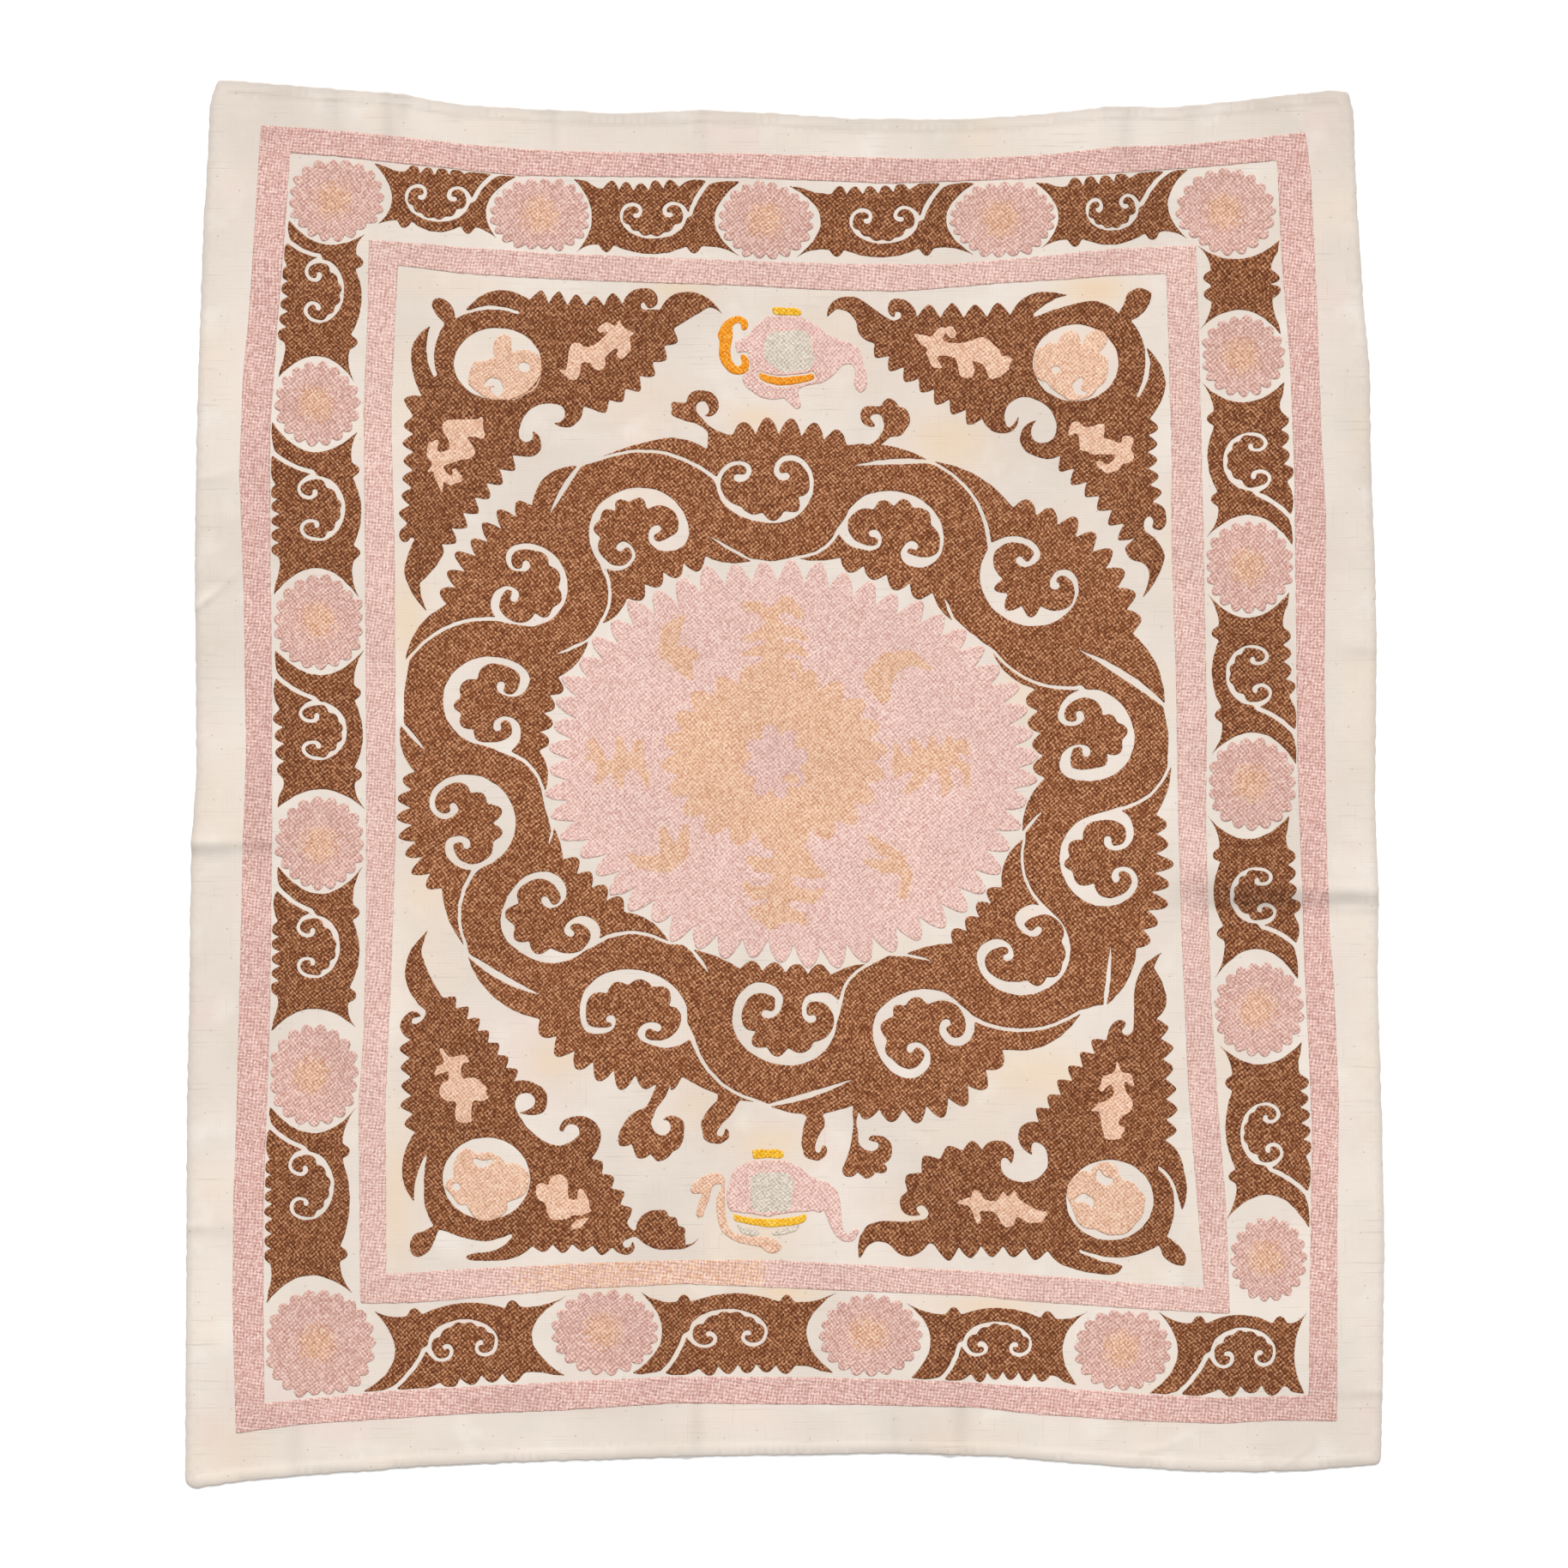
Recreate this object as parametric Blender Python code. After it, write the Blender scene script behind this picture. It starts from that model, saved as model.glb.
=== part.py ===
"""An embroidered tablecloth that lies flat: one hemmed cloth, and on it the areas of chain stitch.

All places are millimetres on a layout sheet as large as the cloth, x to the right and y down the cloth.
LAYOUT_CENTRE is the cloth's middle on that sheet, and it is the origin of the part.
Each area of stitches is a thin sheet of its own, a little above the cloth, and follows the cloth's creases.
"""
import math

import bmesh
import bpy
from mathutils import Vector

MM = 0.001
LAYOUT_CENTRE = (915.0, 914.0)
LAYOUT_SIDES = (216.0, 1614.0)
# The cloth's real width sets the scale of the whole layout. It is then 1642 mm long.
CLOTH_WIDE = 1398.0
LAYOUT_SCALE = CLOTH_WIDE / (LAYOUT_SIDES[1] - LAYOUT_SIDES[0])
CLOTH_THICK = 1.2
HEM_WIDE = 13.0
HEM_SLOPE = 1.5
HEM_RISE = 0.6
STITCH_GAP = 0.3
STITCH_THICK = 1.0
STITCH_LOW = CLOTH_THICK + STITCH_GAP

# How fine the outlines are. A bow flatter than FLAT_BOW is straight, and one under SHORT_BOW has two parts.
FLAT_BOW = 3.5
SHORT_BOW = 53.0
LOBE_SHARES = (0.28, 0.72)
SPIRAL_TURNS = (0.0, 95.0, 190.0, 285.0)
ELLIPSE_PARTS = 6
DISC_PARTS = 20
PANEL_FAN = 4
VINE_FAN = 5

COLOURS = {
    "linen": ((0.79, 0.72, 0.63), 0.92),
    "brown": ((0.17, 0.075, 0.032), 0.9),
    "rose": ((0.72, 0.49, 0.46), 0.9),
    "peach": ((0.86, 0.56, 0.38), 0.9),
    "orange": ((0.92, 0.27, 0.01), 0.85),
    "yellow": ((0.92, 0.50, 0.02), 0.85),
}

# The four edges of the cloth, each from corner to corner, clockwise from the upper left. Columns: x, y.
EDGES = (
    ((254, 93), (311, 97), (382, 103), (464, 109), (537, 122), (620, 127), (728, 132), (816, 128),
     (889, 131), (992, 138), (1116, 139), (1212, 133), (1294, 124), (1366, 125), (1466, 115), (1551, 105),
     (1572, 107)),
    ((1578, 131), (1580, 203), (1589, 346), (1597, 435), (1598, 541), (1603, 650), (1605, 755), (1603, 940),
     (1607, 1035), (1606, 1145), (1611, 1298), (1614, 1450), (1612, 1600), (1610, 1703)),
    ((1607, 1707), (1529, 1714), (1457, 1716), (1386, 1715), (1314, 1710), (1243, 1705), (1171, 1698),
     (1039, 1694), (959, 1696), (799, 1698), (700, 1702), (640, 1703), (519, 1708), (439, 1714), (359, 1720),
     (280, 1727), (226, 1735)),
    ((216, 1728), (217, 1523), (218, 1290), (220, 1200), (223, 982), (229, 900), (228, 744), (227, 656),
     (229, 520), (231, 441), (234, 353), (237, 265), (241, 207), (245, 119)),
)

# Soft creases: a ridge that starts at an edge of the cloth, or in it, and runs out to nothing.
CREASE = ("x", "y", "end_x", "end_y", "half_wide", "high")
CREASES = (
    (382, 90, 388, 178, 13, 3.0),
    (462, 96, 470, 188, 15, 3.5),
    (640, 114, 634, 196, 11, 2.5),
    (817, 114, 812, 186, 9, 2.0),
    (1295, 110, 1288, 182, 13, 3.0),
    (1384, 110, 1376, 188, 12, 3.0),
    (1620, 1046, 1400, 1033, 16, 3.5),
    (208, 986, 296, 980, 12, 2.5),
    (222, 716, 292, 655, 9, 2.0),
    (206, 1436, 272, 1428, 9, 2.0),
    (803, 1712, 796, 1606, 12, 2.5),
    (1106, 1712, 1098, 1614, 11, 2.5),
    (1624, 1622, 1532, 1626, 9, 2.0),
)

# The two rose bands: the outer and the inner line of each, side by side, clockwise from the upper left.
# Columns: x, y.
BANDS = {
    "outer_band": (
        (((304, 146), (376, 151), (435, 156), (552, 169), (640, 176), (749, 178), (875, 179), (992, 183),
          (1110, 186), (1223, 180), (1301, 171), (1375, 169), (1455, 162)),
         ((1522, 154), (1528, 203), (1535, 346), (1541, 517), (1546, 602), (1544, 786), (1546, 960),
          (1550, 1083), (1555, 1145), (1561, 1282), (1559, 1430)),
         ((1559, 1657), (1490, 1656), (1421, 1660), (1314, 1656), (1207, 1649), (1140, 1641), (1010, 1638),
          (880, 1637), (783, 1636), (645, 1645), (551, 1648), (455, 1654), (359, 1660)),
         ((275, 1671), (271, 1523), (272, 1400), (276, 1290), (279, 1160), (283, 982), (287, 880),
          (284, 685), (279, 553), (283, 441), (290, 368), (296, 280))),
        (((338, 178), (400, 183), (480, 192), (540, 198), (603, 205), (720, 206), (860, 207), (960, 211),
          (1040, 214), (1180, 209), (1300, 202), (1400, 195)),
         ((1489, 187), (1495, 310), (1504, 420), (1509, 546), (1511, 713), (1513, 893), (1517, 1010),
          (1521, 1127), (1526, 1227), (1530, 1323), (1528, 1440), (1527, 1528)),
         ((1526, 1627), (1421, 1630), (1314, 1624), (1207, 1617), (1100, 1610), (959, 1606), (783, 1605),
          (640, 1612), (540, 1617), (440, 1623)),
         ((308, 1636), (307, 1523), (307, 1400), (311, 1290), (315, 1160), (317, 982), (317, 800),
          (315, 650), (315, 500), (323, 380), (332, 270))),
    ),
    "inner_band": (
        (((430, 279), (537, 288), (660, 296), (816, 302), (900, 305), (992, 308), (1110, 308), (1223, 298),
          (1300, 290)),
         ((1394, 286), (1397, 360), (1400, 480), (1402, 572), (1405, 725), (1407, 840), (1406, 960),
          (1411, 1145), (1420, 1290), (1429, 1400)),
         ((1434, 1532), (1314, 1525), (1207, 1518), (1140, 1511), (1060, 1508), (895, 1501), (799, 1497),
          (670, 1503), (590, 1510), (487, 1519)),
         ((420, 1520), (419, 1400), (418, 1290), (424, 1200), (427, 1060), (427, 900), (426, 715),
          (425, 590), (424, 480), (429, 353))),
        (((464, 309), (530, 318), (600, 323), (660, 326), (740, 329), (800, 331), (870, 333), (960, 338),
          (1050, 340), (1110, 335), (1170, 330), (1240, 326), (1290, 322)),
         ((1360, 319), (1363, 420), (1366, 530), (1366, 633), (1371, 786), (1374, 960), (1378, 1100),
          (1385, 1260), (1395, 1390)),
         ((1404, 1502), (1310, 1495), (1243, 1489), (1140, 1482), (1060, 1478), (991, 1474), (895, 1469),
          (799, 1469), (700, 1472), (620, 1476), (551, 1479)),
         ((450, 1486), (450, 1400), (449, 1290), (455, 1160), (461, 982), (461, 820), (460, 656), (456, 480),
          (460, 380))),
    ),
}
# What lies between the two bands stays this far from them.
BAND_CLEAR = 1.2

# The round flowers between the leaf panels. Columns: x, y, half_wide, half_long, petals, turn.
ROSETTES = (
    (391, 233, 53, 46, 20, 4), (631, 251, 56, 42, 21, 0), (893, 257, 52, 44, 20, 9),
    (1168, 256, 61, 43, 22, 5), (1429, 247, 54, 48, 20, 2), (1448, 415, 47, 44, 19, 7),
    (1456, 661, 50, 50, 20, 0), (1460, 914, 51, 50, 19, 4), (1468, 1177, 50, 51, 20, 8),
    (1479, 1468, 42, 46, 18, 3), (1309, 1573, 53, 45, 19, 6), (1015, 1557, 56, 45, 20, 1),
    (705, 1553, 58, 47, 20, 8), (372, 1568, 61, 60, 22, 3), (366, 1254, 51, 55, 19, 5),
    (374, 985, 51, 52, 19, 0), (373, 725, 51, 52, 19, 6), (370, 471, 47, 46, 18, 2),
)
PETAL_DEEP = 8.0

# The leaf panels of the border. along runs the way of the clock, out towards the edge of the cloth.
# start_ and end_ are the horned ends, leaf is the tip before the slit, all measured from the panel's spiral.
SIDES = {
    "top": ((1, 0), (0, -1)),
    "right": ((0, 1), (1, 0)),
    "bottom": ((-1, 0), (0, 1)),
    "left": ((0, -1), (-1, 0)),
}
PANEL = ("side", "x", "y", "lean", "start_out", "start_dip", "start_in", "end_out", "end_dip", "end_in",
         "leaf", "out", "in", "crest", "vine", "half_long", "half_high", "lobes")
PANELS = (
    ("top", 507, 235, -5.4, -75, -50, -81, 92, 60, 86, 63, 38, 46, 39, 34, 38, 22, 4),
    ("top", 759, 255, -1.0, -91, -69, -87, 103, 74, 104, 64, 45, 42, 41, 40, 39, 22, 5),
    ("top", 1028, 261, 0.8, -108, -71, -101, 109, 75, 107, 69, 46, 38, 43, 38, 40, 22, 5),
    ("top", 1295, 247, 4.8, -85, -61, -89, 94, 67, 87, 66, 42, 39, 41, 37, 31, 21, 4),
    ("right", 1455, 536, 2.7, -89, -67, -96, 102, 64, 88, 66, 47, 53, 48, 46, 34, 28, 4),
    ("right", 1457, 785, 2.2, -93, -65, -98, 108, 69, 92, 68, 50, 48, 48, 43, 35, 27, 4),
    ("right", 1462, 1042, 3.0, -89, -64, -95, 102, 64, 96, 60, 46, 51, 49, 46, 33, 27, 4),
    ("right", 1472, 1320, 2.2, -104, -79, -104, 114, 73, 100, 71, 50, 47, 53, 42, 37, 25, 5),
    ("bottom", 1452, 1573, 0.0, -69, -57, -73, 113, 79, 102, 75, 52, 45, 50, 39, 38, 24, 3),
    ("bottom", 1166, 1563, -2.5, -92, -73, -102, 102, 81, 112, 63, 48, 40, 44, 37, 40, 21, 5),
    ("bottom", 852, 1550, 0.0, -120, -88, -124, 115, 80, 105, 77, 51, 44, 49, 41, 46, 23, 5),
    ("bottom", 542, 1563, 4.5, -113, -78, -123, 123, 82, 103, 84, 50, 43, 50, 43, 41, 24, 4),
    ("left", 361, 1385, -1.2, -136, -102, -122, 94, 64, 96, 68, 48, 53, 51, 46, 40, 27, 7),
    ("left", 369, 1106, -2.5, -99, -70, -90, 94, 64, 99, 66, 49, 50, 50, 49, 37, 26, 5),
    ("left", 375, 854, 0.5, -88, -66, -91, 97, 67, 97, 64, 53, 51, 52, 47, 34, 28, 4),
    ("left", 373, 595, 0.5, -98, -67, -103, 104, 68, 92, 65, 55, 45, 55, 47, 38, 28, 5),
    ("left", 376, 342, -4.0, -102, -73, -101, 83, 57, 73, 56, 45, 45, 47, 45, 37, 24, 5),
)
# The short panel at the upper right has no spiral: two lobes on each side.
SHORT_PANEL = ("right", 1447, 333, 1.0, -53, -31, -48, 58, 28, 51, 0, 46, 51, 42, 44, 0, 0, 2)

# The vine round the medallion: fourteen scrolls clockwise, in turn on the outer and inner side of the stem.
# turn is the way from the stem to the leaf, in degrees with 90 up. tip and next are the leaf's two ends,
# teeth its scalloped crest, slit the inner end of the second slit, stem a place on the stem after the leaf.
UNIT = ("side", "x", "y", "half_long", "half_high", "turn", "tip", "tip_bulge", "teeth", "crest", "count",
        "end", "end_bulge", "next", "slit", "slit_bulge", "stem")
UNITS = (
    (1, 892, 569, 57, 40, 92, (702, 532), 9, (854, 507), 14, 5, (987, 519), 8, (1081, 536), (995, 543), 9,
     (1085, 541)),
    (-1, 1041, 618, 62, 44, 251, (931, 651), 3, (980, 650), 3, 4, (1087, 690), 4, (1111, 724), (1101, 697),
     3, (1132, 738)),
    (1, 1199, 678, 62, 50, 55, (1089, 538), 11, (1181, 592), 41, 8, (1320, 738), 10, (1358, 820),
     (1257, 757), 14, (1363, 858)),
    (-1, 1278, 855, 57, 45, 190, (1157, 760), 8, (1207, 803), 3, 4, (1219, 907), 8, (1192, 970), (1215, 945),
     3, (1194, 974)),
    (1, 1281, 1000, 57, 47, 11, (1365, 893), 5, (1347, 950), 20, 7, (1325, 1105), 8, (1290, 1172),
     (1295, 1102), 5, (1281, 1170)),
    (-1, 1195, 1108, 60, 48, 128, (1193, 978), 9, (1168, 1035), 0, 4, (1111, 1100), 3, (1057, 1112),
     (1087, 1120), 2, (1034, 1114)),
    (1, 1070, 1206, 58, 48, -50, (1260, 1181), 17, (1168, 1223), 36, 7, (995, 1288), 10, (898, 1290),
     (995, 1258), 10, (890, 1284)),
    (-1, 916, 1194, 61, 48, 86, (1010, 1124), 3, (968, 1137), 3, 4, (863, 1130), 3, (808, 1107), (827, 1135),
     4, (795, 1100)),
    (1, 737, 1174, 62, 44, 258, (880, 1285), 5, (795, 1255), 28, 7, (630, 1188), 16, (545, 1115),
     (630, 1160), 14, (545, 1108)),
    (-1, 640, 1069, 60, 50, 41, (780, 1098), 8, (727, 1063), 0, 4, (656, 1002), 2, (646, 965), (640, 985), 2,
     (636, 945)),
    (1, 548, 958, 57, 48, 198, (541, 1102), 6, (515, 1035), 24, 7, (484, 900), 7, (467, 845), (497, 875), 4,
     (471, 805)),
    (-1, 566, 818, 56, 50, -5, (635, 922), 7, (628, 875), -2, 4, (650, 790), 6, (686, 747), (648, 763), 4,
     (692, 738)),
    (1, 618, 681, 50, 45, 163, (473, 770), 11, (521, 705), 20, 7, (620, 590), 15, (673, 543), (641, 600), 8,
     (688, 540)),
    (-1, 746, 618, 61, 47, -55, (702, 727), 5, (731, 697), -3, 4, (822, 648), 5, (876, 654), (827, 625), 4,
     (905, 655)),
)
TOOTH_HIGH = 11.0

# Outlines by strokes, clockwise on the layout: a bow stands out by bulge to the left of its way,
# and lobes are a row of count round lobes, high each, along such a bow. Columns: x, y, bulge, count, high.
SPRAYS = {
    "corner_spray_upper_left": ((580, 424, 51, 42), (
        (543, 361), (618, 350, 17), (726, 355, 0, 5, 15), (750, 336, 6), (767, 349, 5), (757, 360, 3),
        (752, 354, 1), (747, 353, -2), (750, 361, -2), (770, 361, 0), (803, 340, 7), (842, 366, 6),
        (826, 358, -2), (785, 383, 0), (690, 477, 13, 6, 12), (680, 473, 0), (664, 498, 5), (645, 493, 2),
        (658, 487, -2), (650, 471, -4), (605, 502, -13), (614, 516, -4), (621, 502, -4), (631, 519, 3),
        (618, 532, 4), (597, 530, 1), (514, 634, -2, 6, 14), (516, 648, 2), (489, 679, 2), (498, 713, -2),
        (471, 667, 4), (484, 628, 2), (478, 626, 0), (471, 632, 2), (466, 619, 3), (476, 610, 0),
        (482, 485, 2, 5, 11), (470, 466, 0), (492, 462, 3), (479, 414, 3), (502, 380, 6), (498, 396, -1),
        (506, 440, -4), (510, 438, 0), (519, 377, 8), (503, 356, 2), (516, 348, 4), (531, 371, 4),
        (570, 361, 2), (604, 367, 2), (606, 363, 0), (573, 356, -1), (545, 362, -1))),
    "corner_spray_upper_right": ((1254, 423, 50, 45), (
        (964, 370), (979, 347, 5), (1007, 351, 3), (1040, 374, -1), (1050, 371, -1), (1044, 363, -4),
        (1043, 370, 0), (1035, 361, 2), (1050, 348, 6), (1069, 370, 5), (1178, 368, 3, 4, 16),
        (1215, 340, 7), (1245, 344, 1), (1225, 351, -1), (1204, 367, -1), (1206, 370, 0), (1268, 351, 2),
        (1304, 366, 5), (1314, 343, -1), (1343, 342, 7), (1318, 374, 6), (1335, 412, 4), (1324, 463, 4),
        (1328, 463, 0), (1341, 424, -3), (1336, 405, -1), (1359, 446, 5), (1340, 488, 4),
        (1343, 585, 0, 5, 12), (1360, 603, 5), (1353, 618, 3), (1342, 614, 1), (1345, 606, -1),
        (1334, 607, -5), (1335, 620, -1), (1358, 648, 4), (1332, 697, 4), (1340, 671, -1), (1330, 655, -3),
        (1311, 638, 5), (1324, 627, 0), (1237, 531, -2, 6, 15), (1205, 531, 4), (1189, 512, 4),
        (1209, 490, 6), (1202, 503, -2), (1214, 517, -4), (1232, 494, -7), (1208, 466, -5), (1175, 472, -6),
        (1175, 499, -4), (1188, 485, -2), (1173, 505, 5), (1145, 488, 6), (1020, 400, 6, 7, 13),
        (1000, 386, 3), (975, 360, -8))),
    "corner_spray_lower_right": ((1294, 1399, 51, 47), (
        (1355, 1110), (1345, 1128, -1), (1360, 1162, 2), (1348, 1188, 4), (1358, 1329, 5, 6, 14),
        (1380, 1366, 6), (1378, 1411, 5), (1371, 1387, 0), (1350, 1359, -4), (1350, 1363, 0),
        (1369, 1400, 5), (1360, 1442, 3), (1380, 1460, 2), (1380, 1476, 3), (1356, 1464, 3), (1351, 1451, 0),
        (1300, 1466, 4), (1258, 1456, 2), (1258, 1460, 0), (1285, 1471, 0), (1309, 1476, 1), (1294, 1486, 3),
        (1241, 1476, 2), (1221, 1458, 2), (1092, 1456, -1, 5, 14), (1082, 1450, -3), (1038, 1452, 14),
        (1010, 1454, -6), (1002, 1468, 0), (1012, 1428, 6), (1040, 1424, 2), (1078, 1422, -1),
        (1082, 1412, -2), (1068, 1408, -5), (1074, 1416, -2), (1052, 1411, 4), (1058, 1389, 6),
        (1122, 1342, 8, 3, 12), (1145, 1341, 0, 1, 13), (1163, 1330, 4), (1181, 1340, 3), (1179, 1357, 2),
        (1168, 1350, -3), (1172, 1371, -3), (1208, 1375, -5), (1221, 1345, -6), (1205, 1331, -4),
        (1204, 1347, -2), (1187, 1325, 4), (1200, 1308, 4), (1212, 1309, 1), (1290, 1213, 0, 6, 11),
        (1297, 1193, 1), (1313, 1193, 4), (1308, 1200, 1), (1312, 1207, -2), (1322, 1197, -3),
        (1322, 1160, 0), (1336, 1122, 3))),
    "corner_spray_lower_left": ((567, 1374, 51, 48), (
        (499, 1084), (491, 1110, -1), (517, 1164, -3), (599, 1261, 3, 7, 10), (625, 1264, 3), (638, 1282, 4),
        (625, 1300, 5), (605, 1297, 1), (622, 1290, -1), (618, 1275, -4), (600, 1289, -7), (641, 1334, -6),
        (676, 1322, -6), (664, 1310, -4), (657, 1320, -2), (652, 1318, 0), (662, 1304, 3), (690, 1306, 4),
        (700, 1328, 4), (689, 1351, 2), (731, 1424, 6, 4, 11), (741, 1435, -3), (767, 1411, 8),
        (798, 1441, 5, 3, 5), (798, 1452, 1), (815, 1443, -2), (797, 1456, 2), (775, 1457, 0),
        (741, 1441, 4), (727, 1446, 0), (730, 1455, -3), (737, 1447, -3), (733, 1463, 5), (714, 1454, 3),
        (621, 1452, 0, 4, 10), (590, 1469, 3), (546, 1469, 1), (543, 1464, 1), (567, 1460, 1),
        (598, 1441, -4), (596, 1438, 0), (563, 1447, 2), (521, 1436, 2), (512, 1433, 0), (508, 1440, 0),
        (493, 1464, 3), (478, 1456, 5), (485, 1438, 3), (506, 1429, -1), (494, 1385, 4), (498, 1346, 1),
        (495, 1348, 0), (483, 1401, -4), (469, 1370, 3), (484, 1320, 5), (479, 1212, 1, 5, 12),
        (466, 1196, 3), (480, 1179, 3), (491, 1185, 2), (481, 1187, 0), (480, 1194, -1), (491, 1191, -1),
        (497, 1178, -1), (472, 1138, 5), (480, 1105, 2))),
}
# The small sprigs that grow out of the vine, by strokes from the first foot to the second.
SPRIGS = (
    ((824, 524), (826, 505, 0), (806, 492, -2), (783, 484, 1), (785, 477, 2), (784, 468, 3), (800, 470, 0),
     (816, 455, 5), (838, 474, 7), (821, 485, 5), (826, 473, -3), (812, 471, -5), (818, 487, -3),
     (845, 505, -3)),
    ((1010, 519), (1026, 508, -2), (1027, 484, -4), (1014, 488, -4), (1021, 497, 1), (1003, 486, 5),
     (1016, 473, 5), (1027, 474, 0), (1037, 464, 2), (1048, 475, 2), (1058, 480, 2), (1057, 499, 4),
     (1038, 509, 4), (1026, 520, 0)),
    ((1002, 1296), (1001, 1322, -3), (1016, 1342, -7), (1024, 1332, -4), (1012, 1329, 0), (1022, 1324, 3),
     (1040, 1342, 6), (1030, 1357, 3), (1033, 1366, 3), (1020, 1366, 2), (1008, 1374, 3), (1000, 1366, 0),
     (986, 1372, 3), (982, 1362, 2), (994, 1320, -2), (994, 1297, -1)),
    ((958, 1299), (962, 1330, -3), (950, 1340, -5), (960, 1337, 0), (942, 1352, 5), (936, 1334, 5),
     (950, 1318, -3), (944, 1300, 0)),
    ((853, 1286), (838, 1300, 2), (823, 1316, -2), (833, 1328, -4), (844, 1318, -3), (847, 1328, 3),
     (830, 1332, 3), (815, 1312, 6), (826, 1294, 4), (836, 1281, 0)),
    ((781, 1264), (768, 1288, 2), (762, 1302, -1), (764, 1320, -4), (781, 1318, -5), (776, 1305, -3),
     (772, 1306, 0), (785, 1301, 2), (797, 1320, 6), (784, 1343, 5), (766, 1354, 3), (758, 1345, 0),
     (742, 1350, 3), (736, 1333, 0), (722, 1336, 2), (726, 1312, 3), (752, 1292, 4), (766, 1264, -1)),
)

# The flowers in the four corner discs. Columns: name, x, y, half_wide, half_long, petals, turn, deep.
DISC_FLOWERS = (
    ("disc_flower_upper_left", 590, 434, 33, 27, 7, 20, 6),
    ("disc_flower_upper_right", 1250, 425, 38, 36, 7, 0, 8),
    ("disc_flower_lower_right", 1289, 1398, 41, 38, 8, 10, 6),
    ("disc_flower_lower_left", 565, 1378, 42, 37, 8, 25, 8),
)

# The medallion's teeth are as long as given, or shorter where the vine is near.
MEDALLION = {"x": 916, "y": 890, "half_wide": 281, "half_long": 233, "teeth": 54, "deep": 27, "turn": 2}
VINE_CLEAR = 5.0
TEETH_FROM = 0.7
TOOTH_STEP = 0.01

# The two teapots: pieces by strokes, with the colour of the thread.
POTS = (
    ("pot_upper_body", "rose", (
        (896, 369), (932, 370, 0), (965, 392, 3), (985, 398, 0), (1006, 424, 6), (1010, 446, 1),
        (1001, 456, 3), (994, 444, 2), (992, 424, -2), (975, 430, -4), (956, 446, 2), (931, 453, -3),
        (934, 474, -1), (928, 478, 2), (916, 464, 0), (876, 458, 4), (864, 440, 2), (878, 434, 0),
        (874, 404, -3), (858, 402, 0), (880, 380, 2))),
    ("pot_lower_body", "rose", (
        (877, 1354), (912, 1353, 0), (942, 1372, 3), (962, 1380, 0), (980, 1410, 5), (980, 1430, -2),
        (996, 1431, -4), (998, 1440, 1), (976, 1446, 4), (964, 1424, 3), (957, 1411, -2), (938, 1410, 0),
        (857, 1409, 5), (848, 1392, 2), (856, 1364, 2))),
    ("pot_upper_handle", "orange", (
        (866, 381), (871, 366, 3), (850, 366, 4), (836, 388, 4), (838, 420, -1), (860, 435, 5),
        (871, 424, 3), (866, 413, 2), (863, 424, -2), (850, 419, -3), (851, 376, -2), (862, 370, -2))),
    ("pot_upper_band", "orange", ((884, 433), (910, 438, -1), (946, 433, -1), (948, 440, 1), (910, 446, 2),
                                  (885, 439, 1))),
    ("pot_upper_lid", "yellow", ((900, 359), (930, 359, 1), (931, 366, 2), (901, 366, 0))),
    ("pot_lower_band", "yellow", ((853, 1414), (895, 1421, -2), (938, 1414, -2), (938, 1421, 1),
                                  (895, 1428, 3), (854, 1421, 2))),
    ("pot_lower_lid", "yellow", ((878, 1341), (910, 1341, 1), (911, 1350, 2), (878, 1350, 0))),
    ("pot_lower_handle", "peach", (
        (845, 1374), (832, 1366, -2), (806, 1380, 2), (808, 1390, 2), (818, 1392, 0), (808, 1418, 1),
        (822, 1412, 2), (828, 1386, 1), (842, 1380, -2), (834, 1400, -1), (838, 1430, 2), (856, 1448, 3),
        (884, 1451, 1), (898, 1464, 0), (902, 1452, 0), (911, 1452, 1), (900, 1443, 1), (868, 1440, 1),
        (850, 1428, -3), (843, 1402, -1))),
)

# The upper pot's body is left open for its band.
POT_OPENINGS = {
    "pot_upper_body": ((882, 431), (910, 436, -1), (948, 431, -1), (950, 442, 1), (910, 448, 2),
    (883, 441, 1)),
}


def at(x, y):
    """A place on the layout as a place on the cloth in metres."""
    return (x - LAYOUT_CENTRE[0]) * LAYOUT_SCALE * MM, (LAYOUT_CENTRE[1] - y) * LAYOUT_SCALE * MM


def named(columns, row):
    return dict(zip(columns, row))


def bow(start, end, bulge=0.0, count=None):
    """Places after start on the way to end, along an arc that stands out to the left of the way."""
    (x0, y0), (x1, y1) = start, end
    run, fall = x1 - x0, y1 - y0
    length = max(math.hypot(run, fall), 0.001)
    if count is None:
        count = 1 if abs(bulge) < FLAT_BOW else 2 if length < SHORT_BOW else 3
    places = []
    for i in range(1, count + 1):
        share = i / count
        lift = 4.0 * bulge * share * (1.0 - share) / length
        places.append((x0 + run * share + fall * lift, y0 + fall * share - run * lift))
    return places


def lobes(start, end, bulge, count, high):
    """A row of round lobes along a bow, each standing out to the left of the way."""
    rail = [start] + bow(start, end, bulge, count)
    places = []
    for (x0, y0), (x1, y1) in zip(rail, rail[1:]):
        run, fall = x1 - x0, y1 - y0
        length = max(math.hypot(run, fall), 0.001)
        for share in LOBE_SHARES:
            lift = high * math.sin(math.pi * share) ** 0.6 / length
            places.append((x0 + run * share + fall * lift, y0 + fall * share - run * lift))
        places.append((x1, y1))
    return places


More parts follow.
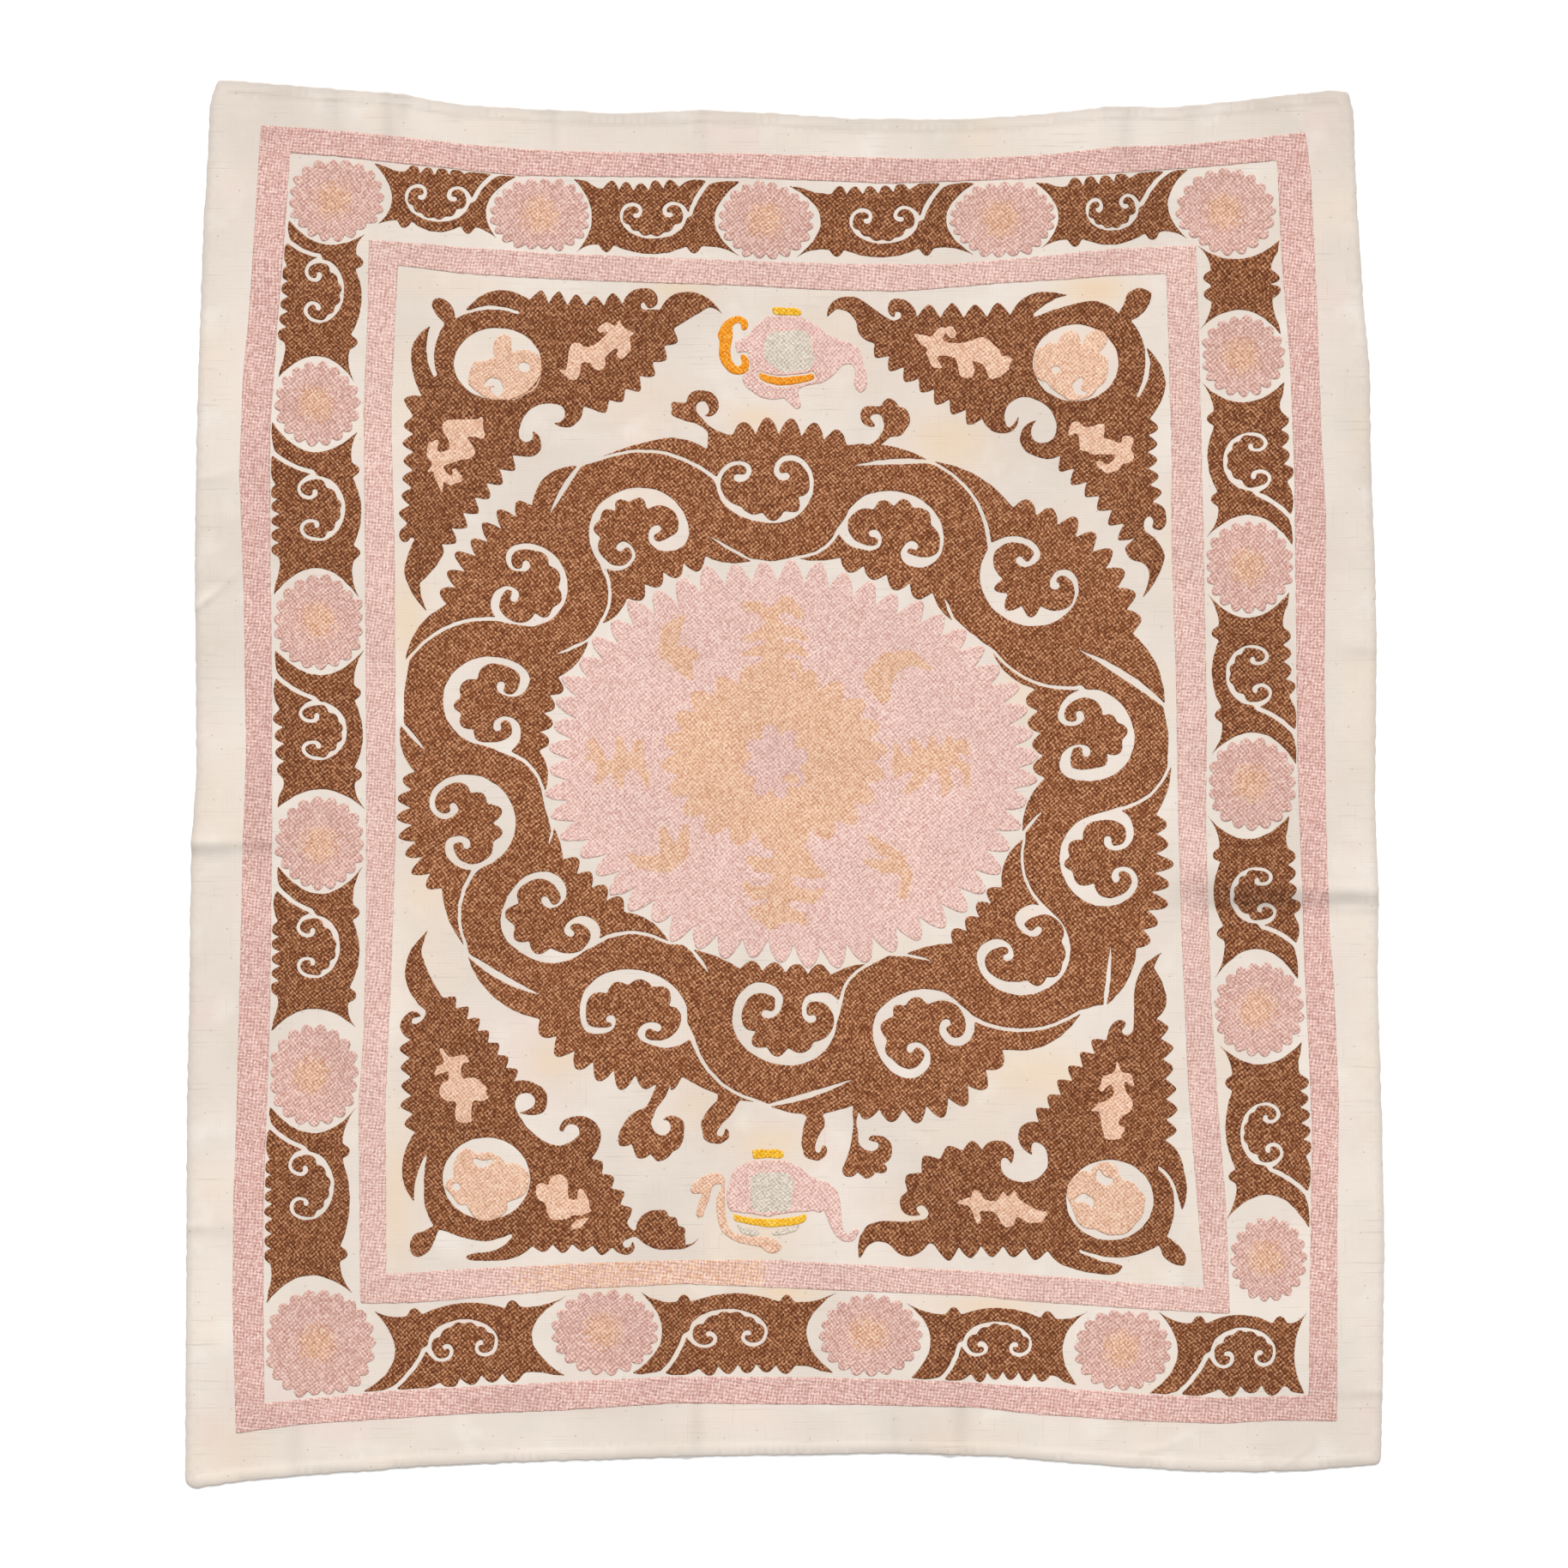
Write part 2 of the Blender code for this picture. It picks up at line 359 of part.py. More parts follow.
def strokes(rows):
    """A closed outline from a table of strokes; the first row is its start."""
    places = [rows[0][:2]]
    for row in rows[1:]:
        x, y, bulge = row[:3]
        if len(row) > 3:
            places += lobes(places[-1], (x, y), bulge, row[3], row[4])
        else:
            places += bow(places[-1], (x, y), bulge)
    return places


def petals(x, y, half_wide, half_long, count, turn, deep):
    """A flower's outline: count tips, with notches deep mm inside them."""
    places = []
    for i in range(2 * count):
        angle = math.radians(turn + 180.0 * i / count)
        inset = deep if i % 2 else 0.0
        places.append((x + (half_wide - inset) * math.cos(angle), y - (half_long - inset) * math.sin(angle)))
    return places


def gap_to(place, outline):
    """The way from a place to the nearest edge of an outline."""
    best = math.inf
    for (x0, y0), (x1, y1) in zip(outline, outline[1:] + outline[:1]):
        run, fall = x1 - x0, y1 - y0
        share = ((place[0] - x0) * run + (place[1] - y0) * fall) / max(run * run + fall * fall, 0.001)
        share = min(1.0, max(0.0, share))
        best = min(best, math.dist(place, (x0 + run * share, y0 + fall * share)))
    return best


def toothed(x, y, half_wide, half_long, teeth, deep, turn, vine):
    """The medallion's outline: pointed teeth that keep clear of the vine round it."""
    full = petals(x, y, half_wide, half_long, teeth, turn, deep)
    reaches = []
    for tip_x, tip_y in full:
        reach = TEETH_FROM
        while reach < 1.0:
            place = (x + (reach + TOOTH_STEP) * (tip_x - x), y + (reach + TOOTH_STEP) * (tip_y - y))
            if gap_to(place, vine) < VINE_CLEAR:
                break
            reach += TOOTH_STEP
        reaches.append(reach)
    for i in range(1, len(full), 2):
        reaches[i] = min(reaches[i], (reaches[i - 1] + reaches[(i + 1) % len(full)]) / 2.0)
    return [(x + reach * (tip[0] - x), y + reach * (tip[1] - y)) for reach, tip in zip(reaches, full)]


def between_bands(side, x, y):
    """The place itself, or the nearest one that keeps clear of both bands on its side."""
    turn = list(SIDES).index(side)
    across = 1 - turn % 2
    along = 1 - across
    limits = []
    for line in (BANDS["outer_band"][1], BANDS["inner_band"][0]):
        rows = sorted((line[turn] + line[(turn + 1) % 4][:1]), key=lambda row: row[along])
        here = (x, y)[along]
        for low, up in zip(rows, rows[1:]):
            if here <= up[along]:
                break
        share = min(1.0, max(0.0, (here - low[along]) / (up[along] - low[along])))
        limits.append(low[across] + share * (up[across] - low[across]))
    least, most = min(limits) + BAND_CLEAR, max(limits) - BAND_CLEAR
    inner = BANDS["inner_band"][0]
    inner_ends = [row[along] for row in inner[turn] + inner[(turn + 1) % 4][:1]]
    if not min(inner_ends) - 3 <= (x, y)[along] <= max(inner_ends) + 3:
        least, most = (least, 9999) if turn in (0, 3) else (-9999, most)
    value = min(most, max(least, (x, y)[across]))
    return (value, y) if across == 0 else (x, value)


def ring_of(x, y, half_wide, half_long, count):
    return [(x + half_wide * math.cos(math.tau * i / count), y - half_long * math.sin(math.tau * i / count))
            for i in range(count)]


def spiral_gap(half_long, half_high, fan):
    """The open line round a spiral palmette, in its own directions: p towards its slit, q towards its leaf.

    It runs from the stem side of the slit round the fan and back to the leaf side of the slit.
    """
    wide = min(6.0, max(4.0, 0.11 * half_long))
    eye, rise = 0.47 * half_long, 0.30 * half_high

    def curl(sign, inner, turns):
        places = []
        for turn in turns:
            radius = half_long * (0.53 - 0.43 * (turn / 330.0) ** 1.15)
            radius = max(radius - wide, 1.0) if inner else radius
            angle = math.radians(turn)
            places.append((sign * (eye + radius * math.cos(angle)), rise + radius * math.sin(angle)))
        return places

    places = []
    for i in range(ELLIPSE_PARTS):
        angle = -math.pi * i / ELLIPSE_PARTS
        places.append((half_long * math.cos(angle), half_high * math.sin(angle)))
    places += curl(-1, False, SPIRAL_TURNS) + curl(-1, True, SPIRAL_TURNS)[::-1]
    tips, notches = 0.86, 0.72
    for i in range(2 * fan + 1):
        angle = math.radians(-165.0 + 150.0 * i / (2 * fan))
        reach = tips if i % 2 else notches
        if 0 < i < 2 * fan:
            places.append((reach * half_long * math.cos(angle), (reach + 0.02) * half_high * math.sin(angle)))
    places += curl(1, True, SPIRAL_TURNS) + curl(1, False, SPIRAL_TURNS[1:])[::-1]
    return places


def panel(row):
    """A leaf panel of the border: horned ends, a scalloped crest, a spiral palmette and its slit."""
    p = named(PANEL, row)
    (ax, ay), (ox, oy) = SIDES[p["side"]]
    lean = math.radians(p["lean"])

    def put(places):
        done = []
        for along, inward in places:
            u = along * math.cos(lean) + inward * math.sin(lean)
            v = along * math.sin(lean) - inward * math.cos(lean)
            done.append((p["x"] + u * ax + v * ox, p["y"] + u * ay + v * oy))
        return done

    out, inner, crest, low = -p["out"], p["in"], -p["crest"], p["vine"] - 9
    start, far = (p["start_out"], out), (p["end_out"], out)
    near_end, near_start = (p["end_in"], inner), (p["start_in"], inner)
    flank, first = (p["start_out"] + 16, out + 3), (p["start_dip"] + 13, crest + 12)
    way = [start, flank] + bow(flank, first, -2, 1)
    if p["half_long"]:
        base, tip = (0.80 * p["half_long"], crest + 9), (p["leaf"], out)
        way += lobes(first, base, 0, p["lobes"], 9) + bow(base, tip, 5, 2)
        gap = [(slitward, -leafward) for slitward, leafward in
               spiral_gap(p["half_long"], p["half_high"], PANEL_FAN)]
        corner = (1.04 * p["half_long"], -0.45 * p["half_high"])
        shoulder = (1.14 * p["half_long"], -0.14 * p["half_high"])
        mouth = (p["leaf"] + 8, out + 9)
        way += bow(tip, corner, -3, 2) + gap[::-1] + [shoulder]
        way += bow(shoulder, mouth, 3, 2) + bow(mouth, far, 3, 2)
        bumps = (0.68 * p["end_dip"], max(0.74 * p["start_dip"], p["start_dip"] + 17))
    else:
        base = (p["end_dip"] - 12, crest + 11)
        way += lobes(first, base, 0, p["lobes"], 9) + bow(base, (p["end_out"] - 14, out + 3), -2, 1) + [far]
        bumps = (9.0, -10.0)
    way += bow(far, near_end, p["end_dip"] - (p["end_out"] + p["end_in"]) / 2.0, 4)
    way += bow(near_end, (bumps[0] + 9, low), -4, 2) + bow((bumps[0] + 9, low), (bumps[0] - 8, low), 9, 2)
    way += bow((bumps[0] - 8, low), (bumps[1] + 8, low), 10, 3)
    way += bow((bumps[1] + 8, low), (bumps[1] - 9, low), 9, 2) + bow((bumps[1] - 9, low), near_start, -4, 2)
    way += bow(near_start, start, (p["start_out"] + p["start_in"]) / 2.0 - p["start_dip"], 4)[:-1]
    return [between_bands(p["side"], *place) for place in put(way)]


def scroll(row):
    """One scroll of the vine from the stem before its leaf to the stem after it, the way of the clock."""
    s = named(UNIT, row)
    side, turn = s["side"], math.radians(s["turn"])
    leaf = (math.cos(turn), -math.sin(turn))
    back = (leaf[1] * side, -leaf[0] * side)

    def put(places):
        return [(s["x"] + p * back[0] + q * leaf[0], s["y"] + p * back[1] + q * leaf[1]) for p, q in places]

    a, b = s["half_long"], s["half_high"]
    gap = put(spiral_gap(a, b, VINE_FAN))
    corner, shoulder = put(((1.0 * a, 0.45 * b), (1.10 * a, 0.26 * b)))
    tip, teeth, end, last = s["tip"], s["teeth"], s["end"], s["next"]
    mouth = (tip[0] - 4.0 * leaf[0], tip[1] - 4.0 * leaf[1])
    slide = side * 0.14 * math.dist(mouth, shoulder)
    way = [mouth] + bow(mouth, shoulder, slide, 2) + gap
    way += [corner] + bow(corner, tip, -slide, 2)
    way += bow(tip, teeth, side * s["tip_bulge"], 2)
    way += lobes(teeth, end, side * s["crest"], s["count"], side * TOOTH_HIGH)
    way += bow(end, last, side * s["end_bulge"], 2)
    inward = (last[0] - 4.0 * leaf[0], last[1] - 4.0 * leaf[1])
    way += bow(last, s["slit"], -side * s["slit_bulge"] * 0.5, 2)[:-1]
    way += [s["slit"]] + bow(s["slit"], inward, side * s["slit_bulge"] * 0.5 - side * 1.5, 2)
    return way + [s["stem"]]


def graft(outline, rows):
    """Grows a sprig out of an outline, in place of the edge between its two feet."""
    sprig = strokes(rows)
    first = min(range(len(outline)), key=lambda i: math.dist(outline[i], sprig[0]))
    last = min(range(len(outline)), key=lambda i: math.dist(outline[i], sprig[-1]))
    return outline[:first] + sprig + outline[max(last, first) + 1:]


def flat_body(name, outlines, low, thick):
    """A closed flat body from outlines on the layout; a second outline is a hole."""
    curve = bpy.data.curves.new(name, "CURVE")
    curve.dimensions = "2D"
    curve.fill_mode = "BOTH"
    curve.extrude = thick * MM / 2.0
    for places in outlines:
        line = curve.splines.new("POLY")
        line.points.add(len(places) - 1)
        for point, place in zip(line.points, places):
            point.co = (*at(*place), 0.0, 1.0)
        line.use_cyclic_u = True
    holder = bpy.data.objects.new(name + "_outline", curve)
    bpy.context.scene.collection.objects.link(holder)
    mesh = bpy.data.meshes.new_from_object(holder.evaluated_get(bpy.context.evaluated_depsgraph_get()))
    bpy.data.objects.remove(holder)
    bpy.data.curves.remove(curve)
    body = bmesh.new()
    body.from_mesh(mesh)
    bpy.data.meshes.remove(mesh)
    bmesh.ops.remove_doubles(body, verts=body.verts, dist=0.00001)
    for vert in body.verts:
        vert.co.z += (low + thick / 2.0) * MM
    return body


def ground_body():
    """The cloth: a thin sheet whose hem, turned under, stands a little higher than the middle."""
    edge = [place for side in EDGES for place in side]
    count = len(edge)
    rings = []
    for inset in (0.0, HEM_WIDE, HEM_WIDE + HEM_SLOPE):
        ring = []
        for i, (x, y) in enumerate(edge):
            (x0, y0), (x1, y1) = edge[i - 1], edge[(i + 1) % count]
            a = Vector((x - x0, y - y0)).normalized()
            b = Vector((x1 - x, y1 - y)).normalized()
            inward = Vector((-(a.y + b.y), a.x + b.x))
            inward /= max(1.0 + a.dot(b), 0.35)
            ring.append((x + inward.x * inset, y + inward.y * inset))
        rings.append(ring)
    body = bmesh.new()
    high = CLOTH_THICK + HEM_RISE
    levels = ((rings[0], 0.0), (rings[0], high), (rings[1], high), (rings[2], CLOTH_THICK))
    loops = [[body.verts.new((*at(*place), level * MM)) for place in ring] for ring, level in levels]
    for low, up in zip(loops, loops[1:]):
        for i in range(count):
            j = (i + 1) % count
            body.faces.new((low[i], low[j], up[j], up[i]))
    body.faces.new(loops[0])
    body.faces.new(loops[-1][::-1])
    return body


def crease_lines(row):
    """The crease's crest and its two feet, as places from the edge to the tip."""
    c = named(CREASE, row)
    start, tip = Vector(at(c["x"], c["y"])), Vector(at(c["end_x"], c["end_y"]))
    way = (tip - start).normalized()
    side = Vector((-way.y, way.x)) * c["half_wide"] * MM
    return start, tip, side


def lift_creases(body):
    """Cuts the body along each crease that crosses it, and lifts what lies on the crease."""
    for row in CREASES:
        start, tip, side = crease_lines(row)
        high = named(CREASE, row)["high"] * MM
        corners = (start + side, start - side, tip)
        left, right = min(c.x for c in corners), max(c.x for c in corners)
        low, up = min(c.y for c in corners), max(c.y for c in corners)
        xs = [v.co.x for v in body.verts]
        ys = [v.co.y for v in body.verts]
        if min(xs) > right or max(xs) < left or min(ys) > up or max(ys) < low:
            continue
        for foot in (start + side, start, start - side):
            way = tip - foot
            faces = [f for f in body.faces
                     if min(v.co.x for v in f.verts) < right and max(v.co.x for v in f.verts) > left
                     and min(v.co.y for v in f.verts) < up and max(v.co.y for v in f.verts) > low]
            near = set(faces) | {e for f in faces for e in f.edges} | {v for f in faces for v in f.verts}
            bmesh.ops.bisect_plane(body, geom=list(near), dist=0.000001, plane_co=(foot.x, foot.y, 0.0),
                                   plane_no=(-way.y, way.x, 0.0))
        length = (tip - start).length
        way = (tip - start) / length
        for vert in body.verts:
            run = (vert.co.x - start.x) * way.x + (vert.co.y - start.y) * way.y
            off = abs((vert.co.x - start.x) * -way.y + (vert.co.y - start.y) * way.x)
            left_over = 1.0 - run / length
            if left_over > 0.0:
                vert.co.z += high * max(0.0, left_over - off / side.length)


def finish(name, body, colour):
    """Turns the body into an object with its own material."""
    lift_creases(body)
    bmesh.ops.triangulate(body, faces=body.faces)
    bmesh.ops.dissolve_degenerate(body, dist=0.000002, edges=body.edges)
    bmesh.ops.recalc_face_normals(body, faces=body.faces)
    mesh = bpy.data.meshes.new(name)
    body.to_mesh(mesh)
    body.free()
    material = bpy.data.materials.new(name + "_thread")
    material.use_nodes = True
    shade = material.node_tree.nodes["Principled BSDF"]
    tint, rough = COLOURS[colour]
    shade.inputs["Base Color"].default_value = (*tint, 1.0)
    shade.inputs["Roughness"].default_value = rough
    shade.inputs["Metallic"].default_value = 0.0
    material.diffuse_color = (*tint, 1.0)
    mesh.materials.append(material)
    piece = bpy.data.objects.new(name, mesh)
    bpy.data.collections["tablecloth"].objects.link(piece)


def stitched(name, outlines, colour):
    finish(name, flat_body(name, outlines, STITCH_LOW, STITCH_THICK), colour)


def main():
    for thing in list(bpy.data.objects):
        bpy.data.objects.remove(thing)
    home = bpy.data.collections.new("tablecloth")
    bpy.context.scene.collection.children.link(home)
    finish("ground_cloth", ground_body(), "linen")
    for name, lines in BANDS.items():
        stitched(name, [[place for side in line for place in side] for line in lines], "rose")
    for i, row in enumerate(ROSETTES, 1):
        stitched(f"rosette_{i:02d}", (petals(*row, PETAL_DEEP),), "rose")
    for i, row in enumerate(PANELS + (SHORT_PANEL,), 1):
        stitched(f"leaf_panel_{i:02d}", (panel(row),), "brown")
    outer = [place for row in UNITS if row[0] > 0 for place in scroll(row)]
    inner = [place for row in UNITS if row[0] < 0 for place in scroll(row)]
    for rows in SPRIGS:
        outer = graft(outer, rows)
    stitched("ring_vine", (outer, inner), "brown")
    for name, (disc, rows) in SPRAYS.items():
        stitched(name, (strokes(rows), ring_of(*disc, DISC_PARTS)), "brown")
    for name, *row in DISC_FLOWERS:
        stitched(name, (petals(*row),), "peach")
    stitched("medallion", (toothed(**MEDALLION, vine=inner),), "rose")
    for name, colour, rows in POTS:
        opening = [strokes(POT_OPENINGS[name])] if name in POT_OPENINGS else []
        stitched(name, [strokes(rows)] + opening, colour)


main()
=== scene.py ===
"""The finished look of an embroidered tablecloth that lies flat.

The cloth is one hemmed sheet with soft creases. Each area of chain stitch is a raised sheet of its own
that follows the cloth. Places are millimetres on a layout sheet as large as the cloth, x to the right and
y down.
"""
import math

import bpy
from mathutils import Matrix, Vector, kdtree, noise
from mathutils.geometry import delaunay_2d_cdt


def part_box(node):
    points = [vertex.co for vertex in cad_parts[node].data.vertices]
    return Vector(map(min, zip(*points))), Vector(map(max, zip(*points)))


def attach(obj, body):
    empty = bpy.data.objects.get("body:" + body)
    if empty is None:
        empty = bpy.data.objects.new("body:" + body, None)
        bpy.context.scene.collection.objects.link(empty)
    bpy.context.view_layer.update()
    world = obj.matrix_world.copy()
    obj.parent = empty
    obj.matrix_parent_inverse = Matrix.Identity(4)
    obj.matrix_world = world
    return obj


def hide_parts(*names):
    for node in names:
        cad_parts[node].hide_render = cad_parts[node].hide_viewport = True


bl_info = {
    "name": "Embroidered tablecloth",
    "version": (1, 0, 0),
    "blender": (4, 5, 0),
    "location": "View3D > Sidebar > Tablecloth",
    "description": "Builds an embroidered tablecloth with its thread work, and a stage for it",
    "category": "Object",
}

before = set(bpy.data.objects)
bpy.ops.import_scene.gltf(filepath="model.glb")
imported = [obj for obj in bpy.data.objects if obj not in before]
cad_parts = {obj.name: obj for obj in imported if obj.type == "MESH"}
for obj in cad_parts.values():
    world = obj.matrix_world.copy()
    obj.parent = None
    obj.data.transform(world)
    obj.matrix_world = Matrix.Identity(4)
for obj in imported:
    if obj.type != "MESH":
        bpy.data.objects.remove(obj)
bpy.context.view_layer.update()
CLOTH_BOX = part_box("ground_cloth")

# The layout sheet: the cloth's middle, its left and right end, and how many metres a layout millimetre is.
LAYOUT_CENTRE = (915.0, 914.0)
LAYOUT_SIDES = (216.0, 1614.0)
MM = (CLOTH_BOX[1].x - CLOTH_BOX[0].x) / (LAYOUT_SIDES[1] - LAYOUT_SIDES[0])
# A true millimetre in metres, for heights.
MILLIMETRE = 0.001
PHOTO_SIDE = 1828.0

# How finely lines are drawn and sheets are filled, in millimetres or in parts of a curve.
CURVE_STEP = 2.6
LOBE_PARTS = 8
QUARTER_PARTS = 10
FAN_PARTS = 9
RING_PARTS = 64
EYE_PARTS = 20
EDGE_STEP = 2.1
CLOTH_STEP = 4.0
VINE_STEP = 1.5
THREAD_GRAIN = 7.0
CLOTH_GRAIN = 9.0
CREASE_GRAIN = 4.0
UNDERSIDE_GRAIN = 22.0
# How far inner points stay from an edge, and the share of its inset that a point of a ring keeps.
CLEAR_OF_RINGS = 6.0
CLOTH_ROOM = 1.2
UNDER_ROOM = 6.0
RING_ROOM = 0.93
# Lengths too short to count: on a line, in a filled sheet, on its underside, and to divide by.
CLOSE = 0.05
FILL_MERGE = 0.01
UNDER_MERGE = 0.0001
TINY = 0.001

# The profiles of a stitched area and of the hem: how far in from the edge, and the share of height there.
STITCH_PROFILE = ((0.0, 0.35), (1.1, 1.0), (2.7, 0.8))
HEM_WIDE = 13.0
HEM_PROFILE = ((0.0, 0.55), (1.5, 1.0), (HEM_WIDE - 0.6, 1.0), (HEM_WIDE + 1.0, 0.0))
# The cloth's rounded rim: how wide it is, and the share of the hem's height there.
RIM_WIDE = 0.8
RIM_SHARE = 0.62

# The four edges of the cloth, each from corner to corner, clockwise from the upper left. Columns: x, y.
EDGES = (
    ((254, 93), (311, 97), (382, 103), (464, 109), (537, 122), (620, 127), (728, 132), (816, 128),
     (889, 131), (992, 138), (1116, 139), (1212, 133), (1294, 124), (1366, 125), (1466, 115), (1551, 105),
     (1572, 107)),
    ((1578, 131), (1580, 203), (1589, 346), (1597, 435), (1598, 541), (1603, 650), (1605, 755), (1603, 940),
     (1607, 1035), (1606, 1145), (1611, 1298), (1614, 1450), (1612, 1600), (1610, 1703)),
    ((1607, 1707), (1529, 1714), (1457, 1716), (1386, 1715), (1314, 1710), (1243, 1705), (1171, 1698),
     (1039, 1694), (959, 1696), (799, 1698), (700, 1702), (640, 1703), (519, 1708), (439, 1714),
     (359, 1720), (280, 1727), (226, 1735)),
    ((216, 1728), (217, 1523), (218, 1290), (220, 1200), (223, 982), (229, 900), (228, 744), (227, 656),
     (229, 520), (231, 441), (234, 353), (237, 265), (241, 207), (245, 119)),
)

# Soft creases: a ridge that starts at an edge of the cloth, or in it, and runs out to nothing.
# Columns: x, y, end_x, end_y, half_wide, high.
CREASES = (
    (382, 90, 388, 178, 13, 3.0), (462, 96, 470, 188, 15, 3.5), (640, 114, 634, 196, 11, 2.5),
    (817, 114, 812, 186, 9, 2.0), (1295, 110, 1288, 182, 13, 3.0), (1384, 110, 1376, 188, 12, 3.0),
    (1620, 1046, 1400, 1033, 16, 3.5), (208, 986, 296, 980, 12, 2.5), (222, 716, 292, 655, 9, 2.0),
    (206, 1436, 272, 1428, 9, 2.0), (803, 1712, 796, 1606, 12, 2.5), (1106, 1712, 1098, 1614, 11, 2.5),
    (1624, 1622, 1532, 1626, 9, 2.0),
)
# Small wrinkles beside the creases, with the same columns.
WRINKLES = (
    (626, 114, 622, 186, 6, 1.2), (240, 700, 300, 640, 6, 1.2), (1340, 1690, 1420, 1664, 7, 1.2),
    (1500, 1706, 1540, 1672, 6, 1.2), (960, 914, 998, 910, 4, 1.0), (1008, 882, 1038, 905, 4, 1.0),
    (1607, 1060, 1420, 1054, 9, 1.6), (232, 560, 290, 540, 7, 1.0), (1614, 760, 1560, 752, 8, 1.0),
)
# How a crease lies: how far it reaches back from its start, how far and in what lengths it drifts, how it
# fades out, and by its half width how wide and how steep it is and where the cloth takes smaller faces.
CREASE_REACH = 14.0
CREASE_DRIFT = 5.0
CREASE_SPAN = 40.0
CREASE_FADE = 1.2
CREASE_WIDE = 2.2
CREASE_SHARP = 1.6
CREASE_FINE = 1.4
# The slow waves of the cloth: how high they are, and how far apart.
WAVE_HIGH = 0.5
WAVE_SPAN = 160.0

# The two rose bands: the outer and the inner line of each, side by side, clockwise from the upper left.
# Columns: x, y.
BANDS = {
    "outer_band": (
        (
            ((304, 146), (376, 151), (435, 156), (552, 169), (640, 176), (749, 178), (875, 179), (992, 183),
             (1110, 186), (1223, 180), (1301, 171), (1375, 169), (1455, 162)),
            ((1522, 154), (1528, 203), (1535, 346), (1541, 517), (1546, 602), (1544, 786), (1546, 960),
             (1550, 1083), (1555, 1145), (1561, 1282), (1559, 1430)),
            ((1559, 1657), (1490, 1656), (1421, 1660), (1314, 1656), (1207, 1649), (1140, 1641),
             (1010, 1638), (880, 1637), (783, 1636), (645, 1645), (551, 1648), (455, 1654), (359, 1660)),
            ((275, 1671), (271, 1523), (272, 1400), (276, 1290), (279, 1160), (283, 982), (287, 880),
             (284, 685), (279, 553), (283, 441), (290, 368), (296, 280))),
        (
            ((338, 178), (400, 183), (480, 192), (540, 198), (603, 205), (720, 206), (860, 207), (960, 211),
             (1040, 214), (1180, 209), (1300, 202), (1400, 195)),
            ((1489, 187), (1495, 310), (1504, 420), (1509, 546), (1511, 713), (1513, 893), (1517, 1010),
             (1521, 1127), (1526, 1227), (1530, 1323), (1528, 1440), (1527, 1528)),
            ((1526, 1627), (1421, 1630), (1314, 1624), (1207, 1617), (1100, 1610), (959, 1606), (783, 1605),
             (640, 1612), (540, 1617), (440, 1623)),
            ((308, 1636), (307, 1523), (307, 1400), (311, 1290), (315, 1160), (317, 982), (317, 800),
             (315, 650), (315, 500), (323, 380), (332, 270)))),
    "inner_band": (
        (
            ((430, 279), (537, 288), (660, 296), (816, 302), (900, 305), (992, 308), (1110, 308),
             (1223, 298), (1300, 290)),
            ((1394, 286), (1397, 360), (1400, 480), (1402, 572), (1405, 725), (1407, 840), (1406, 960),
             (1411, 1145), (1420, 1290), (1429, 1400)),
            ((1434, 1532), (1314, 1525), (1207, 1518), (1140, 1511), (1060, 1508), (895, 1501), (799, 1497),
             (670, 1503), (590, 1510), (487, 1519)),
            ((420, 1520), (419, 1400), (418, 1290), (424, 1200), (427, 1060), (427, 900), (426, 715),
             (425, 590), (424, 480), (429, 353))),
        (
            ((464, 309), (530, 318), (600, 323), (660, 326), (740, 329), (800, 331), (870, 333), (960, 338),
             (1050, 340), (1110, 335), (1170, 330), (1240, 326), (1290, 322)),
            ((1360, 319), (1363, 420), (1366, 530), (1366, 633), (1371, 786), (1374, 960), (1378, 1100),
             (1385, 1260), (1395, 1390)),
            ((1404, 1502), (1310, 1495), (1243, 1489), (1140, 1482), (1060, 1478), (991, 1474), (895, 1469),
             (799, 1469), (700, 1472), (620, 1476), (551, 1479)),
            ((450, 1486), (450, 1400), (449, 1290), (455, 1160), (461, 982), (461, 820), (460, 656),
             (456, 480), (460, 380)))),
}
# The lines that face each other across the border. What lies between them stays BAND_CLEAR from them, but
# from the outer one only where it is more than CORNER_ROOM beyond the inner one's ends.
FACING_LINES = (BANDS["outer_band"][1], BANDS["inner_band"][0])
BAND_CLEAR = 1.2
CORNER_ROOM = 3
# The peach stretch of the inner band: its left end, its right end, its upper limit, and how peach it is.
WARM_STRETCH = (560, 898, 1450)
WARM_SHARE = 0.62

# The round flowers between the leaf panels. Columns: x, y, half_wide, half_long, petals, turn.
ROSETTES = (
    (391, 233, 53, 46, 20, 4), (631, 251, 56, 42, 21, 0), (893, 257, 52, 44, 20, 9),
    (1168, 256, 61, 43, 22, 5), (1429, 247, 54, 48, 20, 2), (1448, 415, 47, 44, 19, 7),
    (1456, 661, 50, 50, 20, 0), (1460, 914, 51, 50, 19, 4), (1468, 1177, 50, 51, 20, 8),
    (1479, 1468, 42, 46, 18, 3), (1309, 1573, 53, 45, 19, 6), (1015, 1557, 56, 45, 20, 1),
    (705, 1553, 58, 47, 20, 8), (372, 1568, 61, 60, 22, 3), (366, 1254, 51, 55, 19, 5),
    (374, 985, 51, 52, 19, 0), (373, 725, 51, 52, 19, 6), (370, 471, 47, 46, 18, 2),
)
# How much larger a flower is than its row says where there is room, how far it stays from what is round it,
# how far its warm middle reaches, and its petals: how deep, how round, and how unlike each other.
ROSETTE_GROW = 1.09
ROSETTE_CLEAR = 3.0
ROSETTE_MIDDLE = 20.0
PETAL_DEEP = 8.0
PETAL_ROUND = 0.8
PETAL_SPAN = 1.7
UNEVEN = 0.25

